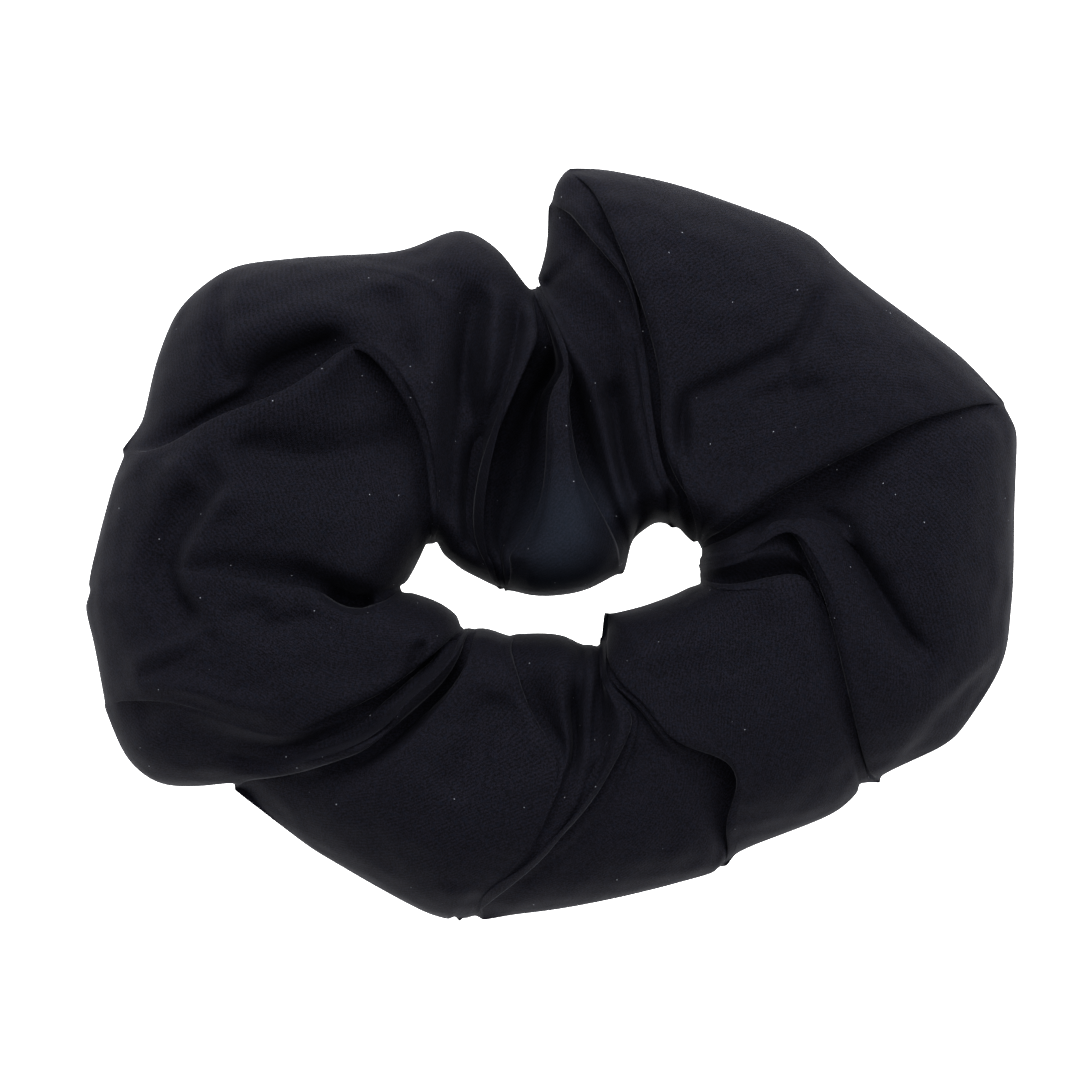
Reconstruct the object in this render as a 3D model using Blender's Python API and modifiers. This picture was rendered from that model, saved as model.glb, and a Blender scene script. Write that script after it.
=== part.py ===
"""Gathered fabric hair scrunchie, lying flat: a hollow cover round a closed loop of flat elastic.

Metres, +Z up. The origin is on the resting plane, under the middle of the whole object. +X is to the
right and +Y to the back as the scrunchie lies. The cover is one piece of cloth. It is modelled as a back
half and a front half, which meet at two planes of constant y, so that the elastic ring can open.
"""

import math
from dataclasses import dataclass

import bpy
from mathutils import Vector

MM = 0.001

# Cover
WALL = 0.6 * MM  # two layers of crepe knit, pressed together by the gathers
SPLIT_Y = -3.0 * MM  # where the back half meets the front half, on both sides of the hair opening
SPLIT_GAP = 0.6 * MM
CAGE_SPREAD = 1.075  # the smoothed surface lies inside its cage, so the cage is this much wider
CAGE_LIFT = 1.06
SMOOTHING = 1

# Elastic band
BAND_CENTRE = Vector((0.5, -5.5)) * MM
BAND_HALF_LENGTH = 28.5 * MM
BAND_HALF_WIDTH = 15.0 * MM
BAND_MIDDLE_Z = 12.0 * MM
BAND_WIDTH = 6.0 * MM
BAND_THICKNESS = 1.0 * MM
LAP_LENGTH = 10.0 * MM
LAP_GAP = 0.3 * MM
LAP_ANGLE = math.radians(-90)  # the lapped join lies at the front of the loop
BAND_STEPS = 96

# Threads
THREAD_RADIUS = 0.15 * MM
JOIN_TURNS = 6
JOIN_LENGTH = 7.0 * MM
POINTS_PER_TURN = 16
TUBE_SEAM_ACROSS = 0.55  # how far the long seam lies from the outer edge towards the inner edge
TUBE_SEAM_Z = 1.5 * MM
TUBE_SEAM_STEPS = 90
CLOSING_SEAM_SHARE = 0.82  # the closing stitches follow the cover's section at this share of its size
CLOSING_SEAM_BACK = 1.2 * MM  # behind the split plane
CLOSING_SEAM_STEPS = 48


@dataclass(frozen=True)
class Station:
    """One cross-section of the cover, in mm: its outer and inner edge from above, and its height."""

    outer: tuple[float, float]
    inner: tuple[float, float]
    height: float

    def at(self, across, up):
        """The point a share of the way from the outer to the inner edge and of the way up, in metres."""
        x = self.outer[0] + across * (self.inner[0] - self.outer[0])
        y = self.outer[1] + across * (self.inner[1] - self.outer[1])
        return Vector((x, y, up * self.height)) * MM


SPLIT_Y_MM = SPLIT_Y / MM
LEFT_END = Station((-55.4, SPLIT_Y_MM), (-16.4, SPLIT_Y_MM), 22.0)
RIGHT_END = Station((55.4, SPLIT_Y_MM), (17.6, SPLIT_Y_MM), 23.0)

# From the left end, round the back, to the right end.
BACK_STATIONS = (
    LEFT_END,
    Station((-51.6, 9.0), (-14.6, 0.2), 22.0),
    Station((-43.4, 26.6), (-13.9, 2.4), 23.0),
    Station((-27.6, 34.4), (-12.4, 0.4), 24.0),
    Station((-10.8, 37.4), (-8.6, -4.2), 24.0),
    Station((5.4, 47.3), (-0.4, -6.6), 25.0),
    Station((24.4, 41.0), (8.8, -1.8), 26.0),
    Station((42.0, 28.4), (12.2, 2.2), 26.0),
    Station((54.6, 15.6), (16.8, 0.8), 25.0),
    RIGHT_END,
)

# From the right end, round the front, to the left end.
FRONT_STATIONS = (
    RIGHT_END,
    Station((53.4, -17.0), (16.8, -5.6), 23.0),
    Station((39.8, -28.4), (12.4, -8.6), 23.0),
    Station((21.8, -37.2), (7.2, -11.2), 23.0),
    Station((5.6, -43.8), (1.2, -11.8), 24.0),
    Station((-11.0, -46.4), (-5.2, -11.4), 24.0),
    Station((-29.6, -37.4), (-10.8, -9.8), 23.0),
    Station((-46.4, -28.8), (-15.2, -7.2), 22.0),
    Station((-53.4, -16.6), (-17.0, -5.2), 22.0),
    LEFT_END,
)

# The cover's section, from the flat underside up the inner edge, over the top and down the outer edge:
# shares of the width, from the outer edge, and of the height.
SECTION = (
    (0.10, 0.00),
    (0.36, 0.00),
    (0.64, 0.00),
    (0.90, 0.00),
    (1.00, 0.36),
    (0.93, 0.78),
    (0.70, 1.00),
    (0.36, 0.98),
    (0.10, 0.74),
    (0.00, 0.34),
)


def material(name, colour, roughness):
    """A plain dielectric finish."""
    made = bpy.data.materials.new(name)
    made.use_nodes = True
    shader = made.node_tree.nodes["Principled BSDF"]
    shader.inputs["Base Color"].default_value = (*colour, 1.0)
    shader.inputs["Roughness"].default_value = roughness
    shader.inputs["Metallic"].default_value = 0.0
    made.diffuse_color = (*colour, 1.0)
    return made


def clear_scene():
    for obj in list(bpy.data.objects):
        bpy.data.objects.remove(obj, do_unlink=True)


def new_collection(name):
    made = bpy.data.collections.new(name)
    bpy.context.scene.collection.children.link(made)
    return made


def add_object(name, data, collection, finish, parent):
    """A named object with its finish, hung from the part's empty."""
    obj = bpy.data.objects.new(name, data)
    obj.data.materials.append(finish)
    collection.objects.link(obj)
    obj.parent = parent
    return obj


def poly_curve(name, points, closed):
    """A curve through these points by straight spans."""
    curve = bpy.data.curves.new(name, "CURVE")
    curve.dimensions = "3D"
    spline = curve.splines.new("POLY")
    spline.points.add(len(points) - 1)
    for place, point in zip(spline.points, points):
        place.co = (*point, 1.0)
    spline.use_cyclic_u = closed
    return curve


def thread(name, points, closed, collection, finish, parent):
    """Sewing thread laid along these points."""
    curve = poly_curve(name, points, closed)
    curve.bevel_depth = THREAD_RADIUS
    curve.bevel_resolution = 1
    curve.use_fill_caps = not closed
    return add_object(name, curve, collection, finish, parent)


def cage_point(station, across, up, shift_y):
    """A cage vertex: wider than the section by the amount that smoothing takes away again."""
    wide = 0.5 + (across - 0.5) * CAGE_SPREAD
    return station.at(wide, up * CAGE_LIFT) + Vector((0.0, shift_y, 0.0))


def cover_half(name, stations, shift_y, collection, finish, parent):
    """Half of the cover: an open tube over its stations, smoothed, with a wall inside its surface."""
    last = len(stations) - 1
    points = []
    for index, station in enumerate(stations):
        moved = shift_y if index in (0, last) else 0.0
        points += [cage_point(station, across, up, moved) for across, up in SECTION]
    ring = len(SECTION)
    faces = []
    for row in range(last):
        for column in range(ring):
            following = (column + 1) % ring
            faces.append(
                (
                    row * ring + column,
                    (row + 1) * ring + column,
                    (row + 1) * ring + following,
                    row * ring + following,
                )
            )
    mesh = bpy.data.meshes.new(name)
    mesh.from_pydata(points, [], faces)
    mesh.shade_smooth()
    half = add_object(name, mesh, collection, finish, parent)
    smooth = half.modifiers.new("smooth", "SUBSURF")
    smooth.levels = SMOOTHING
    smooth.render_levels = SMOOTHING
    wall = half.modifiers.new("wall", "SOLIDIFY")
    wall.thickness = WALL
    wall.offset = -1.0
    return half


def band_point(angle, outward, z):
    """A point beside the band's middle line, moved outward along the loop's normal in the XY plane."""
    normal = Vector((math.cos(angle) / BAND_HALF_LENGTH, math.sin(angle) / BAND_HALF_WIDTH)).normalized()
    x = BAND_CENTRE.x + BAND_HALF_LENGTH * math.cos(angle) + outward * normal.x
    y = BAND_CENTRE.y + BAND_HALF_WIDTH * math.sin(angle) + outward * normal.y
    return Vector((x, y, z))


def elastic_band(collection, finish, parent):
    """Flat elastic on its edge, whose two ends lie on each other over the lap."""
    lap_turn = LAP_LENGTH / BAND_HALF_LENGTH  # at the front of the loop the band runs along its long axis
    start = LAP_ANGLE - lap_turn / 2
    turn = 2 * math.pi + lap_turn
    spread = (BAND_THICKNESS + LAP_GAP) / 2
    points = []
    for step in range(BAND_STEPS + 1):
        share = step / BAND_STEPS
        # The inner end starts inside and the outer end finishes outside, each easing in within a lap.
        ease_in = max(0.0, 1.0 - max(0.0, share * turn / lap_turn - 1.0))
        ease_out = max(0.0, 1.0 - max(0.0, (1.0 - share) * turn / lap_turn - 1.0))
        points.append(band_point(start + share * turn, spread * (ease_out - ease_in), BAND_MIDDLE_Z))
    curve = poly_curve("elastic_band", points, closed=False)
    curve.extrude = BAND_WIDTH / 2
    band = add_object("elastic_band", curve, collection, finish, parent)
    thickness = band.modifiers.new("thickness", "SOLIDIFY")
    thickness.thickness = BAND_THICKNESS
    thickness.offset = 0.0
    return band


def elastic_join_stitches(collection, finish, parent):
    """One thread wound over both layers of the lap."""
    half_out = BAND_THICKNESS + LAP_GAP / 2 + 3 * THREAD_RADIUS
    half_up = BAND_WIDTH / 2 + 3 * THREAD_RADIUS
    corner = 0.5  # below 1, this pushes each turn out towards the band's corners
    points = []
    count = JOIN_TURNS * POINTS_PER_TURN
    for step in range(count + 1):
        share = step / count
        turn = 2 * math.pi * share * JOIN_TURNS
        out = math.copysign(abs(math.cos(turn)) ** corner, math.cos(turn)) * half_out
        up = math.copysign(abs(math.sin(turn)) ** corner, math.sin(turn)) * half_up
        angle = LAP_ANGLE + (share - 0.5) * JOIN_LENGTH / BAND_HALF_LENGTH
        points.append(band_point(angle, out, BAND_MIDDLE_Z + up))
    return thread("elastic_join_stitches", points, False, collection, finish, parent)


def smooth_loop(points, steps):
    """Points read evenly by parameter from a closed Catmull-Rom curve through these points."""
    count = len(points)
    found = []
    for step in range(steps):
        place = step * count / steps
        index = int(place)
        t = place - index
        before, here, after, beyond = (points[(index + k) % count] for k in (-1, 0, 1, 2))
        found.append(
            0.5
            * (
                2 * here
                + (after - before) * t
                + (2 * before - 5 * here + 4 * after - beyond) * t**2
                + (3 * here - before - 3 * after + beyond) * t**3
            )
        )
    return found


def tube_seam_thread(collection, finish, parent):
    """The seam that closes the strip into a tube, inside the underside of the whole ring."""
    stations = BACK_STATIONS[:-1] + FRONT_STATIONS[:-1]
    route = [station.at(TUBE_SEAM_ACROSS, 0.0) + Vector((0.0, 0.0, TUBE_SEAM_Z)) for station in stations]
    return thread(
        "tube_seam_thread", smooth_loop(route, TUBE_SEAM_STEPS), True, collection, finish, parent
    )


def closing_seam_thread(collection, finish, parent):
    """The stitches that close the ring: a loop just inside the cover, across the tube at its left end."""
    outline = [LEFT_END.at(across, up) for across, up in SECTION]
    middle = sum(outline, Vector()) / len(outline)
    route = [middle + (point - middle) * CLOSING_SEAM_SHARE for point in outline]
    back = Vector((0.0, CLOSING_SEAM_BACK + SPLIT_GAP / 2, 0.0))
    points = [point + back for point in smooth_loop(route, CLOSING_SEAM_STEPS)]
    return thread("closing_seam_thread", points, True, collection, finish, parent)


def build():
    clear_scene()
    scrunchie = new_collection("scrunchie")
    centre = bpy.data.objects.new("scrunchie_centre", None)
    scrunchie.objects.link(centre)
    knit = material("navy_crepe_knit", (0.0110, 0.0112, 0.0165), 0.85)
    rubber = material("braided_black_elastic", (0.0160, 0.0160, 0.0180), 0.70)
    polyester = material("navy_polyester_thread", (0.0130, 0.0135, 0.0220), 0.50)
    cover_half("cover_back", BACK_STATIONS, SPLIT_GAP / 2, scrunchie, knit, centre)
    cover_half("cover_front", FRONT_STATIONS, -SPLIT_GAP / 2, scrunchie, knit, centre)
    elastic_band(scrunchie, rubber, centre)
    elastic_join_stitches(scrunchie, polyester, centre)
    tube_seam_thread(scrunchie, polyester, centre)
    closing_seam_thread(scrunchie, polyester, centre)


build()
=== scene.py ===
"""Looks of a gathered fabric scrunchie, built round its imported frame.

The cover is one strip of crepe knit, carried round the ring as a grid: lines of the cloth run from the hair
opening out to the rim, some of them rolled over into laps, and every line is carried down the sides and
under the ring to the long seam. Lengths are in millimetres until a mesh is written in metres.
"""

import logging
import math
from dataclasses import dataclass, field
from enum import Enum

import bpy
import numpy as np
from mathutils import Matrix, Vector

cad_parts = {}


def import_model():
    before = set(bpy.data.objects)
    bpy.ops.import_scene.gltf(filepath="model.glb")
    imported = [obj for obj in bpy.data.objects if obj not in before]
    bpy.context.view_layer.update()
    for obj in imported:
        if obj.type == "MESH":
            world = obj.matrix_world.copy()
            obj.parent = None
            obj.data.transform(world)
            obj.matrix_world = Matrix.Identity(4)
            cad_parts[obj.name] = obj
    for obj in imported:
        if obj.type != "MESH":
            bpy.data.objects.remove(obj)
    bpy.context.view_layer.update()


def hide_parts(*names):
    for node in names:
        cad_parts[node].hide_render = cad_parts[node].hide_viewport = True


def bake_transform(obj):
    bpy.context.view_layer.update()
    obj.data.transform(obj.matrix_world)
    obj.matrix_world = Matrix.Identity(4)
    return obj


logging.basicConfig(level=logging.INFO, format="%(message)s")
log = logging.getLogger("scrunchie")

MM = 0.001  # in metres
EYE = (-1.14, 0.48, 900.0)  # the camera's place in mm
SEEN_AT = 10.0  # routes are drawn as they look from the eye, on a plane this high in mm
FOLD_LINES = 7  # the grid lines that a rolled fold needs
THREAD_SIDES = 8  # points round a thread

Array = np.ndarray
Point = tuple[float, float]
Point3 = tuple[float, float, float]


class Body(str, Enum):
    """The two bodies of the frame."""

    FRONT = "front_half"
    BACK = "back_half"


class Slot(str, Enum):
    """The record's material slots."""

    COVER = "cover_fabric"
    ELASTIC = "elastic"
    THREAD = "thread"


@dataclass(frozen=True)
class PlainLine:
    """A line of the cloth from the hair opening to the rim, seen from above.

    rises lifts the cloth above the soft outer form, or sinks it where negative: one number, or one for
    each point of the route. A crisp line keeps its corner where others are smoothed.
    """

    name: str
    route: tuple[Point, ...]
    rises: float | tuple[float, ...] = 0.0
    crisp: bool = False


@dataclass(frozen=True)
class FoldLine(PlainLine):
    """A line where the cloth is rolled over on itself.

    laps is how far the hidden layer reaches under the rolled edge at each point of the route: positive
    where the cloth clockwise of the line lies on top, negative where the cloth before it does. gaps is
    how much further the lower layer falls away beside the rolled edge.
    """

    laps: tuple[float, ...] = ()
    gaps: float | tuple[float, ...] = 0.0


@dataclass(frozen=True)
class Crease:
    """A dent or a ridge pressed along a route: its depth, negative for a dent, and its width."""

    name: str
    route: tuple[Point, ...]
    depth: float
    width: float
    one_sided: bool = False


@dataclass(frozen=True)
class PaintedLightPatch:
    """A place where light is painted on the cloth, paler and bluer, along a route seen from above."""

    route: tuple[Point, ...]
    width: float


# Painted light: the tongue's base beside the lit hair opening is painted paler and bluer.
PAINTED_LIGHT = (PaintedLightPatch(((2.0, 3.5), (1.5, 0.0), (1.2, -4.5)), 5.0),)


# The lines go clockwise round the ring, seen from above, from the crease at the left.
LINES = (
    FoldLine("left_crease", ((-17.9, -5.5), (-20.6, -6.4), (-23.9, -7), (-28, -4.8), (-32.3, -4.3),
        (-37.1, -3.6), (-44.6, -3.1), (-49.1, -3.4), (-55.1, -5.2)),
        laps=(-1, -2, -2.5, -1.5, -1.2, -1, -0.3, 0, 0), gaps=(1, 2.5, 4, 3, 1.5, 1, 0.3, 0, 0)),
    PlainLine("left_low", ((-17.5, -4.8), (-20.9, -5.3), (-24.5, -4.1), (-29.9, -1.9), (-37.1, -0.5),
        (-43.7, -0.5), (-47.9, -1.3), (-54.9, -2.9)), rises=(0, 0, 0, 0, 0.3, 0.8, -0.3, 0)),
    PlainLine("left_mid", ((-16.9, -4), (-19.7, -0.7), (-26.3, 2.9), (-34.7, 4.7), (-42.5, 5.3),
        (-47.9, 4.1), (-53.6, 2.5)), rises=(0, 0, 0.5, 0.8, 0.8, -0.3, 0)),
    PlainLine("left_high", ((-15.9, -2.2), (-17.9, 4.1), (-23.9, 9.5), (-32.3, 11.3), (-40.7, 11.3),
        (-46.7, 9.5), (-52.1, 7.9)), rises=(0, -0.5, -0.5, 0, 0.5, 0.5, 0)),
    FoldLine("arch_edge", ((-14.3, 0.1), (-14.7, 4.7), (-15.7, 11.9), (-18.2, 17.6), (-21.5, 22.1),
        (-24.4, 24.2), (-27.5, 21.8), (-32.3, 18.7), (-36.4, 17.2), (-41.3, 15.2), (-46.7, 11.8),
        (-51.1, 11)), laps=(1, 3, 4, 4, 3, 0, -2.5, -3.5, -3.5, -2.3, -0.9, 0),
        gaps=(0.5, 1.5, 2, 2, 1.5, 2, 4.5, 5, 4.5, 3, 1.6, 0)),
    PlainLine("arch_pocket", ((-13.5, 0.4), (-13.6, 6.5), (-14.3, 12.5), (-16.5, 18.5), (-19.7, 23.3),
        (-24.2, 24.7), (-28.5, 23.5), (-32.9, 21.4), (-37.1, 18.7), (-42.5, 16.3), (-48.7, 14.6)),
        rises=(0, 0.5, 1, 1, 0.8, -1, -4.5, -5, -3.5, -1.5, 0)),
    PlainLine("arch_lip", ((-12.8, -1.1), (-11.9, 6.5), (-12.5, 13.7), (-14.6, 20.3), (-18.5, 25.7),
        (-24.5, 27.6), (-29.9, 27.4), (-34.7, 26.3), (-38.3, 23.8), (-41.9, 21.8), (-47.3, 21.7)),
        rises=(0, 0, 0.5, 0.5, 1, 1.4, 1.2, 0.8, 0, 0, 0)),
    PlainLine("arch_back", ((-11.7, -2), (-10.7, 5.3), (-11, 13.7), (-12.5, 21.5), (-16.1, 28.1),
        (-22.7, 31.1), (-29.9, 31.1), (-37.1, 29.3), (-44.6, 28.6)),
        rises=(0, -1.8, -1.6, -0.5, 0, 0, 0, 0, 0)),
    PlainLine("arch_crown", ((-10.6, -2.9), (-9.9, 5.3), (-10, 13.7), (-11, 20.9), (-13.1, 27.5),
        (-17.9, 32.3), (-24.5, 33.1), (-31.1, 33.1), (-38.3, 33.6)),
        rises=(0, -4, -3.9, -2.3, -0.7, 0, 0, 0, 0)),
    PlainLine("ridge_a", ((-9.5, -3.5), (-9.2, 5.3), (-9.2, 13.7), (-9.5, 20.9), (-11.3, 28.1),
        (-14.9, 32.3), (-20.3, 33.8), (-27.5, 34.6)), rises=(0, -5, -5, -3.6, -1.3, 0, 0, 0)),
    PlainLine("ridge_b", ((-8.3, -4.1), (-8.6, 4.1), (-8.3, 12.5), (-8.2, 20.9), (-9.5, 29.3),
        (-11.9, 33.5), (-16.7, 35)), rises=(0, -3.4, -4, -3.2, -1.5, -0.3, 0)),
    PlainLine("ridge_c", ((-7.1, -4.7), (-8.1, 2.9), (-7.5, 11.3), (-6.7, 19.7), (-6.9, 28.1), (-8.6, 33.5),
        (-10.4, 38.5)), rises=(0, -0.5, -0.8, -0.8, 0, 0.3, 0.3)),
    PlainLine("ridge_d", ((-6.4, -5), (-7.9, 1.7), (-7.1, 8.9), (-5.3, 16.1), (-4.1, 23.3), (-4.1, 29.3),
        (-5.6, 34.9))),
    FoldLine("roll_edge", ((-5.7, -5.3), (-6.1, -2.2), (-7.5, 0.1), (-7.9, 3.5), (-7.1, 8.9), (-5.1, 14.3),
        (-3.3, 18.5), (-1.7, 22.3), (-0.8, 24.7), (-1.1, 27.5), (-2, 30.5)),
        laps=(-1.5, -3, -3.4, -3.4, -3.4, -3.4, -3.4, -3, -2, -1.5, -1),
        rises=(0, 0, -0.4, -0.6, -0.6, -0.4, 0, 0, 0, 0, 0), gaps=(0, 2, 4, 6, 8, 8, 8, 7, 5, 2, 0)),
    PlainLine("gap_floor", ((-5.3, -5.4), (-5.6, -2.2), (-5.7, 0.5), (-4.5, 4.7), (-2.9, 10.1), (-2, 15.5),
        (-0.5, 19.7), (0.4, 23), (-0.2, 26.3), (-1.7, 30.5)),
        rises=(-1, -8, -12, -14, -15, -16, -16, -12, -5, -1), crisp=True),
    FoldLine("tongue_left", ((-5, -5.5), (-5.2, -3.1), (-5.5, -1.1), (-4.1, 0.5), (-2.7, 2.9), (-1.6, 5.9),
        (-1.1, 10.1), (-1, 13.7), (-0.8, 16.9), (-0.1, 19.4), (1.5, 21.5), (0.4, 25.7), (-1.6, 30.5)),
        laps=(0.8, 1.5, 2.5, 3, 3, 3, 3, 3, 3, 2.5, 1.5, 1, 0.5),
        gaps=(0, 1, 3, 5, 7, 8, 8, 8, 8, 6, 3, 1, 0)),
    PlainLine("tongue_a", ((-2.3, -6.1), (-2.3, -2.9), (-1.1, 2.9), (0.1, 10.1), (0.5, 16.1), (2.1, 20.9),
        (0.8, 25.1), (-1.4, 30.6)), rises=(0, 4, 1.6, 0.5, 0, 0, 0, 0)),
    PlainLine("tongue_b", ((1.5, -6), (1.5, -2.2), (1.5, 5.3), (1.6, 11.3), (1.7, 16.7), (2.3, 20.9),
        (1, 24.8), (-1.4, 30.7)), rises=(0.5, 5, 2.2, 0.8, 0.5, 0.5, 0.5, 0.5)),
    PlainLine("tongue_c", ((5.5, -4.9), (5.1, -1.3), (3.7, 5.3), (2.6, 11.3), (2.3, 16.7), (2.4, 20.8),
        (1.1, 24.6), (-1.3, 30.8)), rises=(0.3, 4, 1.9, 0.6, 0.3, 0.3, 0.3, 0.3)),
    FoldLine("tongue_right", ((8.5, -3.5), (8.7, -0.5), (7.4, 2.8), (5.7, 6.2), (4.1, 9.8), (3.4, 13.7),
        (2.9, 17.5), (2.6, 20.6), (1.3, 24.4), (-1.3, 30.8)),
        laps=(-0.5, -1, -1.5, -2, -2, -2, -1.5, -1, -0.3, 0), gaps=(0, 0, 1, 4, 7, 7, 5, 2, 0, 0)),
    PlainLine("slot_floor", ((9.2, -2.8), (9.3, -0.1), (8.2, 2.9), (6.4, 6.7), (4.9, 10.7), (3.9, 14.3),
        (3.3, 17.9), (2.8, 20.9), (1.4, 24.5), (-1.2, 31)),
        rises=(-0.5, -1, -2, -8, -11, -11, -7, -2, -0.5, 0), crisp=True),
    PlainLine("neck_rib", ((9.5, -1), (9.7, 1.9), (8.6, 5.5), (7.4, 9.5), (6.5, 13.7), (5.3, 17.9),
        (3.9, 21.8), (1.9, 25.1), (-1.1, 31.3)), rises=0.8, crisp=True),
    PlainLine("neck_valley", ((9.9, 0.7), (10.9, 2.9), (9.7, 6.5), (8.5, 10.7), (7.6, 17.3), (5.7, 22.4),
        (2.5, 26), (-1.3, 32)), rises=(0, -3, -6, -7, -6.5, -4.5, -2, 0), crisp=True),
    PlainLine("neck_bulge", ((12.7, 2.8), (12.7, 4.7), (11.8, 8.9), (10.4, 14.3), (9.1, 20.9), (6.7, 26.3),
        (3.1, 29.9), (-0.8, 33.4)), rises=(0, 0.5, -1, -3, -3.5, -3, -1.5, 0)),
    PlainLine("corner_flat", ((14.1, 2.6), (13.7, 5.3), (12.7, 10.1), (11.2, 16.7), (9.8, 23.3),
        (7.5, 29.3), (3.7, 33.5), (-0.1, 36.2)), rises=(0, 0, -2, -3.5, -3, -1.5, -0.5, 0)),
    FoldLine("corner_lip", ((15.1, 1.8), (14.6, 5.3), (13, 9.8), (11.8, 16.7), (10.9, 23.9), (8.9, 30.7),
        (6.4, 33.8), (3.3, 37.4), (1.5, 39.7), (0.2, 40.8)), laps=(0, 0, 0, 0, 0.3, 1.5, 2, 2, 1.5, 1),
        rises=(-0.5, -0.5, -1, -2, -2, -1, 0, 0, 0, 0), gaps=(0, 0, 0, 0, 0.3, 1.5, 2, 2, 1.5, 0.5)),
    PlainLine("corner_pocket", ((16.3, 1), (15.7, 4.7), (13.5, 9.5), (12.3, 14.9), (11.8, 20.9),
        (10.6, 27.5), (8.5, 32.9), (6.1, 37.7), (3.4, 41.3), (0.5, 43.2)),
        rises=(0, -0.5, -1, -2, -2.5, -2.5, -3.5, -4, -2, 0)),
    FoldLine("fan_edge", ((17.7, 0.4), (16.9, 3.8), (14.2, 8.3), (12.8, 13.1), (12.7, 19.1), (11.3, 25.7),
        (9.4, 31.3), (7.5, 36.1), (6.4, 38.6), (4.9, 41.6), (2.2, 44.8)),
        laps=(1.5, 3, 4, 4, 3.5, 3.5, 4, 3.5, 3, 2, 1), gaps=(0.5, 1, 1.5, 2, 1.5, 1, 1.5, 2, 1.5, 0.5, 0)),
    PlainLine("fan_a", ((17.8, 0.4), (17.3, 2.9), (15.7, 7.7), (14.7, 12.5), (14.5, 18.5), (13.5, 25.7),
        (11.5, 32.9), (9.1, 38.9), (6.7, 44.8)), rises=0.3),
    PlainLine("fan_b", ((17.9, 0.3), (18.1, 3.5), (17.5, 8.9), (17.1, 13.7), (18.1, 20.9), (18.1, 28.1),
        (16.9, 35.3), (15.7, 43.1))),
    PlainLine("fan_c", ((17.9, 0.2), (19, 4.1), (19.9, 8.9), (22.3, 14.9), (25.9, 20.9), (28.3, 26.9),
        (30.3, 32.9), (31.9, 37.2))),
    PlainLine("fan_notch", ((18, 0.2), (19.4, 3.8), (21.4, 8.9), (25.9, 14.9), (29.8, 20.9), (32.2, 26.9),
        (33.7, 31.1), (34.4, 33.7))),
    PlainLine("fan_d", ((18, 0.2), (19.9, 3.8), (24.1, 8.9), (30.1, 14.9), (34.9, 20.9), (37.9, 25.7),
        (40.3, 29.3))),
    PlainLine("fan_e", ((18.1, 0.1), (20.7, 3.1), (26.5, 7.7), (33.7, 13.1), (40.3, 17.3), (44.5, 20.3),
        (49.3, 22.4)), rises=0.3),
    FoldLine("fan_hem", ((18.1, 0), (20.7, 0.8), (22.9, 2.4), (27.1, 5.2), (32.5, 8.2), (37.9, 10.9),
        (43.9, 13.9), (49.9, 15.7), (54.5, 16.8)), laps=(-1.5, -3, -4, -4.5, -5, -4, -3, -2, -1),
        gaps=(0.5, 2, 3, 3.5, 3.5, 2.5, 1, 0.5, 0.3)),
    PlainLine("side_a", ((18.1, -0.5), (22.3, 1), (27.1, 3.8), (33.1, 5.9), (38.5, 7.9), (45.7, 10.3),
        (56.1, 13.7)), rises=(-0.5, -2, -5, -6, -3, -1, 0)),
    PlainLine("side_b", ((18.1, -1), (22.9, 0.1), (27.7, 2.9), (33.9, 2.9), (39.7, 3.5), (46.9, 4.1),
        (55.7, 4.7)), rises=(-0.5, -1, -3.5, -3, -0.5, 0.5, 0)),
    PlainLine("side_c", ((18.1, -1.4), (23.1, -0.4), (28.4, 2.4), (34.6, 1.1), (40.3, -1.9), (47.5, -3.7),
        (55.6, -4.3)), rises=(-0.5, -0.5, -1.5, -1.5, 0, 0.5, 0)),
    PlainLine("side_valley", ((18.1, -1.8), (23.3, -0.7), (28.9, 2.9), (31.9, 3.6), (35.5, 1.4),
        (38.5, -3.7), (42.7, -10.7), (47.5, -14.5), (54.8, -13.9)),
        rises=(0, 0, -1.5, -1.5, -2, -2, -1.5, -0.5, 0)),
    PlainLine("strap_a", ((18.1, -2.2), (23.5, -1), (28.9, 2.2), (31.9, 1.1), (35.5, -4.3), (39.7, -11.5),
        (45.7, -17.5), (51.9, -18.7)), rises=(0, 0, -0.5, 0, 0.3, 0.5, 0.3, 0)),
    PlainLine("strap_b", ((18.1, -2.5), (23.6, -1.2), (28.6, 1.7), (31, -0.1), (34.3, -6.1), (37.5, -14.5),
        (41.5, -21.7), (48.3, -23.8)), rises=(0, 0, 0, 0.5, 0.5, 0.5, 0.5, 0)),
    FoldLine("strap_edge", ((18.1, -2.9), (23.6, -1.4), (27.9, 1.9), (30.1, -1.6), (31.9, -5.5),
        (33.2, -9.7), (34.6, -15.4), (35.8, -20.5), (37, -25.3), (38, -27.8), (39.7, -28.1)),
        laps=(0, 0, -2, -3, -3.5, -3.5, -3.5, -3, -2.5, -2, -1),
        gaps=(0, 0, 1, 1.5, 1.5, 1.5, 1, 1, 0.8, 0.5, 0)),
    PlainLine("under_strap", ((18.1, -3.6), (23.5, -2.3), (28.9, -1.7), (31.9, -4.6), (34.4, -11.5),
        (36.3, -18.7), (38.7, -29)), rises=(0, 0, -0.5, -2, -2.5, -2.5, -1)),
    FoldLine("shelf_crease", ((18.2, -4.3), (22.9, -4.1), (26.8, -3.2), (30.8, -3.1), (32.5, -6.7),
        (34.6, -13.9), (36.4, -22.3), (37.7, -29.2)), laps=(1, 2, 2.5, 2, 0.5, 0, 0, 0),
        rises=(0, 0, 0, -0.5, -2, -2, -2, -1), gaps=(0.5, 3, 4.5, 3.5, 0, 0, 0, 0)),
    PlainLine("shelf_a", ((18.1, -4.8), (24.1, -5.5), (29.5, -7), (31.5, -11.5), (33.7, -18.7),
        (35.6, -24.7), (37.1, -29.6)), rises=(0, 0, 0, 0, -0.5, -0.5, 0)),
    PlainLine("shelf_b", ((17.7, -5), (22.9, -8.2), (27.7, -13.9), (31, -20.5), (33.2, -26.5),
        (34.6, -32.2))),
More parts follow.
